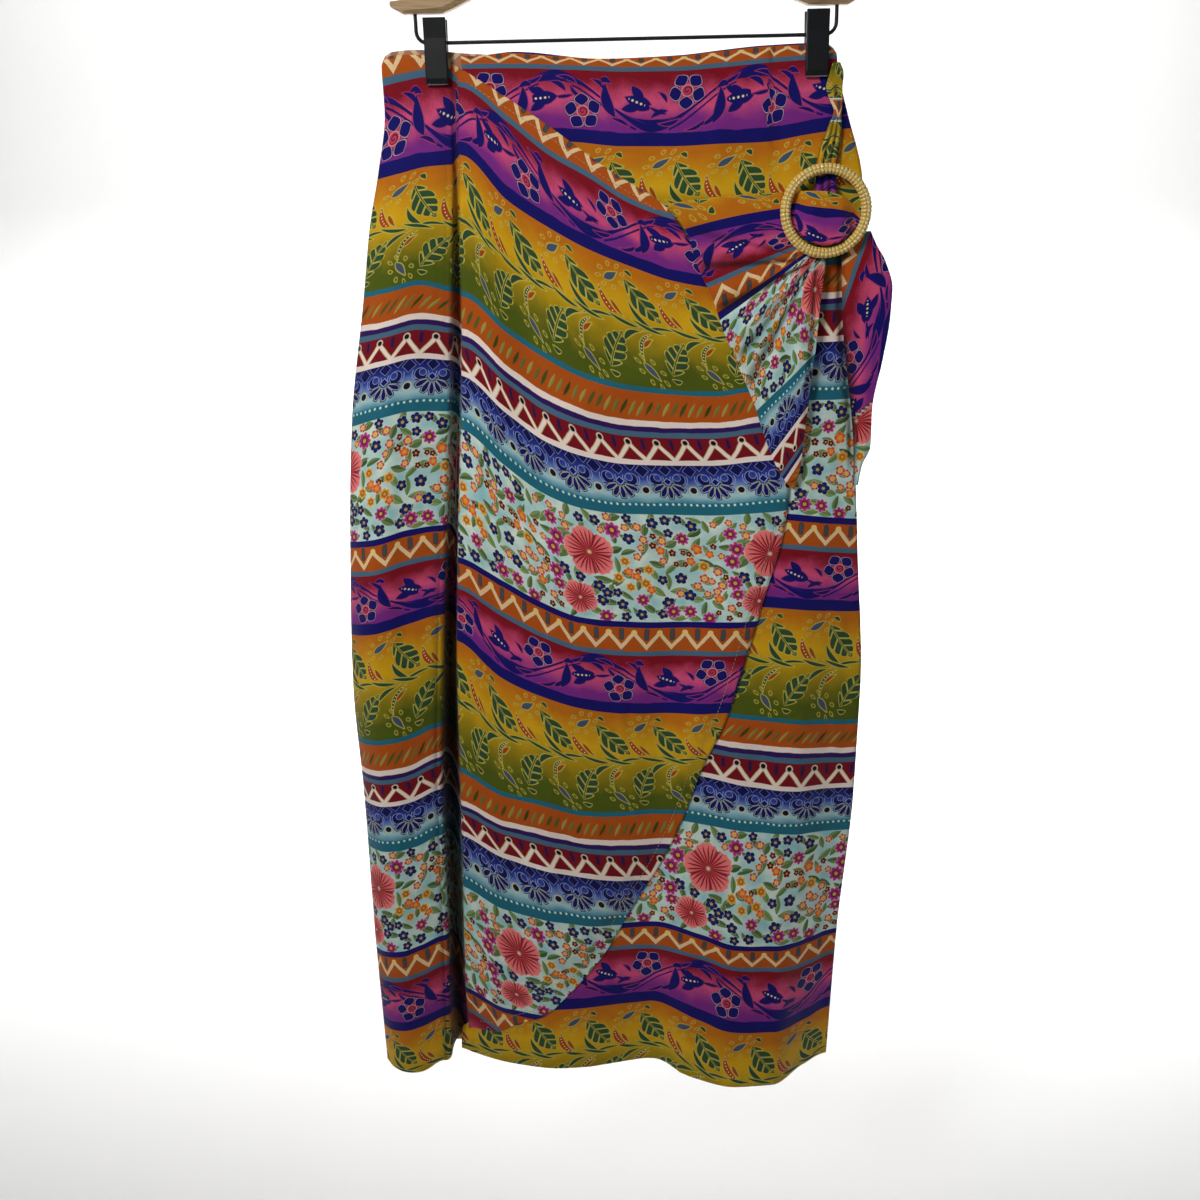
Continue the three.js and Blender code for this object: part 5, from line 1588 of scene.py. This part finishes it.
def make_strap():
    sx, sh, sy = (curve(STRAP, "z", k) for k in ("x", "half", "y"))
    z = np.linspace(-163, -263.5, 68)[:, None]
    q = np.linspace(0, 1, 20)[None, :]
    ridge = np.cos(q * math.pi * 6) * smooth((-z - 198) / 14)
    loop = np.sin(math.pi * q) * (smooth((-z - 164) / 8) - smooth((-z - 186) / 10))
    x = sx(z) + (2 * q - 1) * sh(z)
    y = sy(z) - 1.1 * np.sin(math.pi * q) - 0.4 + 0.75 * ridge + 0.8 * loop
    p = np.stack([x, y, z + 0 * x], -1)
    # print by height: leaves in the loop, a zigzag with its blue line, then gathered yellow
    prof = curve("z v\n-163 150\n-180 118\n-190.5 101\n-191 386\n-200 406\n-207 412\n-207.5 150\n-245 64\n-263.5 34", "z", "v")
    zs = np.array([-163, -190, -190.3, -207, -207.3, -246, -263.5])
    vs = np.array([150, 96, 384, 412, 132, 66, 34.0])
    v = np.interp(-z, -zs, vs) + 3 * np.sin(q * 7)
    strips = (v[:-1, :-1] + v[:-1, 1:] + v[1:, :-1] + v[1:, 1:]) / 4
    u = (x - 160) * 1.8 + 20 + 0 * z
    # painted shade in the troughs of the gathered strap and a dark spot in the loop's fold
    deep = 0.75 * smooth((ridge - 0.1) / 0.7) * smooth((-z - 205) / 14)
    deep = deep + 0.85 * np.exp(-(((q - 0.55) / 0.16) ** 2) - (((z + 184) / 4.2) ** 2))
    return cloth("ring_strap_cloth", p, np.stack([u, v], -1), strips, per_face=True, depth=np.clip(deep + 0 * x, 0, 0.92))


def mesh_object(name, verts, faces, material, smooth_shade=True):
    mesh = bpy.data.meshes.new(name)
    mesh.from_pydata([tuple(float(c) / 1000 for c in p) for p in verts], [], [tuple(int(i) for i in f) for f in faces])
    mesh.update()
    obj = bpy.data.objects.new(name, mesh)
    bpy.context.scene.collection.objects.link(obj)
    mesh.materials.append(material)
    mesh.polygons.foreach_set("use_smooth", [smooth_shade] * len(mesh.polygons))
    return obj


def make_ring():
    """The ring: two rows of small raised beads pressed all round its front, over a smooth back."""
    beads, per, sides = 66, 8, 36
    n = beads * per
    mean = RING["outer"] - RING["tube"]
    th = np.linspace(0, 2 * math.pi, n, endpoint=False)[:, None]
    ph = np.linspace(0, 2 * math.pi, sides, endpoint=False)[None, :]
    along = np.abs(np.cos(th * beads / 2)) ** 0.6
    rows = np.abs(np.cos(3 * ph)) ** 0.55
    front = smooth((-np.sin(ph) + 0.35) / 0.5)
    r = RING["tube"] * (1 - 0.17 * front * (1 - along * rows)) + 0.05 * np.sin(th * 7)
    x = (mean + r * np.cos(ph)) * np.cos(th)
    z = (mean + r * np.cos(ph)) * np.sin(th)
    y = r * np.sin(ph)
    v = np.stack([x + RING["x"], y + RING["y"], z + RING["z"]], -1).reshape(-1, 3).tolist()
    faces = []
    for i in range(n):
        for j in range(sides):
            a, b = i * sides + j, i * sides + (j + 1) % sides
            c, d = ((i + 1) % n) * sides + (j + 1) % sides, ((i + 1) % n) * sides + j
            faces.append((a, d, c, b))
    # the bar, where the band covers it
    base, m = len(v), 16
    for end in (-1, 1):
        for k in range(m):
            a = 2 * math.pi * k / m
            v.append([RING["x"] + RING_BAR_R * math.cos(a), RING["y"] + RING_BAR_R * math.sin(a), RING["z"] + (end * 17 - 4.2)])
    for k in range(m):
        faces.append((base + k, base + (k + 1) % m, base + m + (k + 1) % m, base + m + k))
    faces.append(tuple(base + k for k in reversed(range(m))))
    faces.append(tuple(base + m + k for k in range(m)))
    return mesh_object("ring_beaded", v, faces, RING_MAT)


def stitches(name, path, length=2.7, pitch=4.0, width=0.5, lift=0.3):
    """A row of thread stitches along a line of points on the cloth, as small rounded bars."""
    path = np.asarray(path, float)
    d = np.concatenate([[0], np.cumsum(np.linalg.norm(np.diff(path, axis=0), axis=1))])
    verts, faces = [], []
    s = 1.0
    while s + length < d[-1]:
        cols = []
        for t in (0.0, 0.18, 0.82, 1.0):
            at = s + length * t
            cols.append(np.array([np.interp(at, d, path[:, k]) for k in range(3)]))
        along = cols[3] - cols[0]
        along /= max(np.linalg.norm(along), 1e-9)
        across = np.cross(along, [0, -1, 0])
        across /= max(np.linalg.norm(across), 1e-9)
        out = np.array([0, -1.0, 0])
        base = len(verts)
        for c, k in zip(cols, (0.45, 1.0, 1.0, 0.45)):
            for a in range(6):
                g = math.pi * 2 * a / 6
                verts.append(c + across * math.cos(g) * width / 2 * k + out * (math.sin(g) * lift * k * 0.6 + 0.04))
        for i in range(3):
            for a in range(6):
                b = (a + 1) % 6
                faces.append((base + i * 6 + a, base + i * 6 + b, base + (i + 1) * 6 + b, base + (i + 1) * 6 + a))
        faces.append(tuple(base + a for a in reversed(range(6))))
        faces.append(tuple(base + 18 + a for a in range(6)))
        s += pitch
    return mesh_object(name, verts, faces, THREAD_MAT)


def offset_line(x, z, inset, side):
    dx, dz = np.gradient(x), np.gradient(z)
    n = np.hypot(dx, dz)
    return x - side * dz / n * inset, z + side * dx / n * inset


made = {}
made["overlap"], area_overlap = make_overlap()
made["under"], area_under = make_under()
made["back"], area_back = make_back()
made["fan"] = make_fan()
made["band"] = make_band()
made["end"] = make_end()
made["strap"] = make_strap()
made["ring"] = make_ring()

# ------------------------------------------------------------------ stitching
free_x = np.concatenate([np.linspace(-138, 100, 160), np.linspace(101, 145.5, 90)])
free_z = free_edge(free_x)
ix, iz = offset_line(free_x, free_z, 10.0, 1)
keep = (iz < over_top(ix) - 6) & (ix > lipr_at(iz) + 4)
ix, iz = ix[keep], iz[keep]
thread_free = stitches("topstitch_free_edge", np.column_stack([ix, overlap_y(ix, iz) - 0.12, iz]))
wx = np.linspace(-120, 34, 150)
wx, wz = offset_line(wx, over_top(wx), 7.0, -1)
thread_waist = stitches("topstitch_waist", np.column_stack([wx, overlap_y(wx, wz) - 0.12, wz]))


def finish_node(name, material, bevel=0.0):
    o = nodes[name]
    o.data.materials.clear()
    o.data.materials.append(material)
    if bevel:
        m = o.modifiers.new("soft_edges", "BEVEL")
        m.width, m.segments, m.limit_method, m.angle_limit = bevel, 2, "ANGLE", math.radians(35)
    o.data.polygons.foreach_set("use_smooth", [True] * len(o.data.polygons))
    n = o.modifiers.new("shade", "WEIGHTED_NORMAL")
    n.keep_sharp = True


finish_node("hanger_bar", WOOD_MAT, 0.0012)
finish_node("hanger_hook", STEEL_MAT)
finish_node("hanger_wire", WIRE_MAT)
for side in ("left", "right"):
    for part in ("front_jaw", "back_jaw"):
        finish_node(f"clip_{side}_{part}", CLIP_MAT, 0.0007)
    finish_node(f"clip_{side}_spring", STEEL_MAT)

# a bright strip along the bottom of each clip's front jaw
clip_lips = []
for side in ("left", "right"):
    co = np.array([v.co for v in nodes[f"clip_{side}_front_jaw"].data.vertices]) * 1000
    bottom = co[co[:, 2] < co[:, 2].min() + 1.2]
    a, b = bottom[bottom[:, 0].argmin()], bottom[bottom[:, 0].argmax()]
    y0, y1 = bottom[:, 1].min() + 0.6, bottom[:, 1].max()
    verts, faces = [], []
    n = 14
    for i in range(n + 1):
        t = i / n
        x = a[0] + 0.6 + (b[0] - a[0] - 1.2) * t
        z = a[2] + (b[2] - a[2]) * t
        for dy, dz in ((y0, 0.2), (y0 - 0.25, -0.25), (y0 + 0.1, -0.8), (y1 - 0.4, -0.8), (y1 - 0.4, 0.2)):
            verts.append((x, dy, z + dz))
    m = 5
    for i in range(n):
        for j in range(m):
            k = (j + 1) % m
            faces.append((i * m + j, i * m + k, (i + 1) * m + k, (i + 1) * m + j))
    faces.append(tuple(reversed(range(m))))
    faces.append(tuple(n * m + j for j in range(m)))
    clip_lips.append(mesh_object(f"clip_{side}_edge", verts, faces, STEEL_MAT, False))

# ------------------------------------------------------------------ riding on the root, in place of the imported parts, which are hidden
STANDS = {
    "overlap": ("overlap_front_panel", "cloth_overlap"),
    "under": ("under_front_panel", "cloth_under"),
    "back": ("back_panel", "cloth_back"),
    "fan": ("tie_fan", "cloth_tie"),
    "band": ("tie_band", "cloth_tie"),
    "end": ("tie_end", "cloth_tie"),
    "strap": ("ring_strap", "cloth_tie"),
    "ring": ("ring_buckle", "ring"),
}
for key, (node, slot_name) in STANDS.items():
    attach(made[key], "root")
    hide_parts(node)
for o in (thread_free, thread_waist):
    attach(o, "root")
for o in clip_lips:
    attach(o, "root")

# ------------------------------------------------------------------ stage, light and camera
def stage_material():
    net = Net("pale_floor")
    n = net.noise(net.place(), 0.004, 3)
    return net.end(net.mix(n, srgb(250, 250, 249), srgb(254, 254, 253)), 0.9, n, 0.02, 0.0005, spec=0.1)


STAGE_MAT = stage_material()
profile = [(-4.0, -1.42)] + [
    (1.6 + 1.2 * math.sin(a), -1.42 + 1.2 * (1 - math.cos(a))) for a in np.linspace(0, math.pi / 2, 15)
] + [(2.8, 3.6)]
verts, faces = [], []
for x in (-5.0, 5.0):
    verts += [(x * 1000, y * 1000, z * 1000) for y, z in profile]
k = len(profile)
for i in range(k - 1):
    faces.append((i, k + i, k + i + 1, i + 1))
floor = mesh_object("floor_and_backdrop", verts, faces, STAGE_MAT)

scene = bpy.context.scene
world = bpy.data.worlds.new("soft_studio")
scene.world = world
world.use_nodes = True
bg = world.node_tree.nodes["Background"]
bg.inputs[0].default_value = (1.0, 1.0, 1.0, 1.0)
bg.inputs[1].default_value = 0.12


def soft_light(name, at, toward, size, power, tint=(1, 1, 1)):
    d = bpy.data.lights.new(name, "AREA")
    d.shape, d.size, d.energy, d.color = "DISK", size, power, tint
    o = bpy.data.objects.new(name, d)
    o.location = at
    o.rotation_euler = (Vector(toward) - Vector(at)).to_track_quat("-Z", "Y").to_euler()
    scene.collection.objects.link(o)
    return o


soft_light("key", (-1.3, -1.9, 0.9), (-0.14, 0, -0.22), 0.8, 3.1).data.spread = math.radians(48)
soft_light("fill", (1.7, -1.8, 0.3), (0, 0, -0.3), 1.2, 0.6)
backdrop_light = soft_light("backdrop_light", (0, 2.2, 2.6), (0, 2.5, -1.2), 4.4, 105).data
backdrop_light.shape, backdrop_light.size_y, backdrop_light.spread = "ELLIPSE", 1.5, math.radians(76)

camera = bpy.data.objects.new("camera", bpy.data.cameras.new("camera"))
scene.collection.objects.link(camera)
camera.location = (-0.018, -1.125, -0.290)
camera.rotation_euler = (math.radians(74), 0, 0)
camera.data.lens = 39
camera.data.sensor_width = 36
camera.data.clip_start, camera.data.clip_end = 0.05, 50
scene.camera = camera
scene.view_settings.view_transform = "Standard"
scene.view_settings.look = "None"
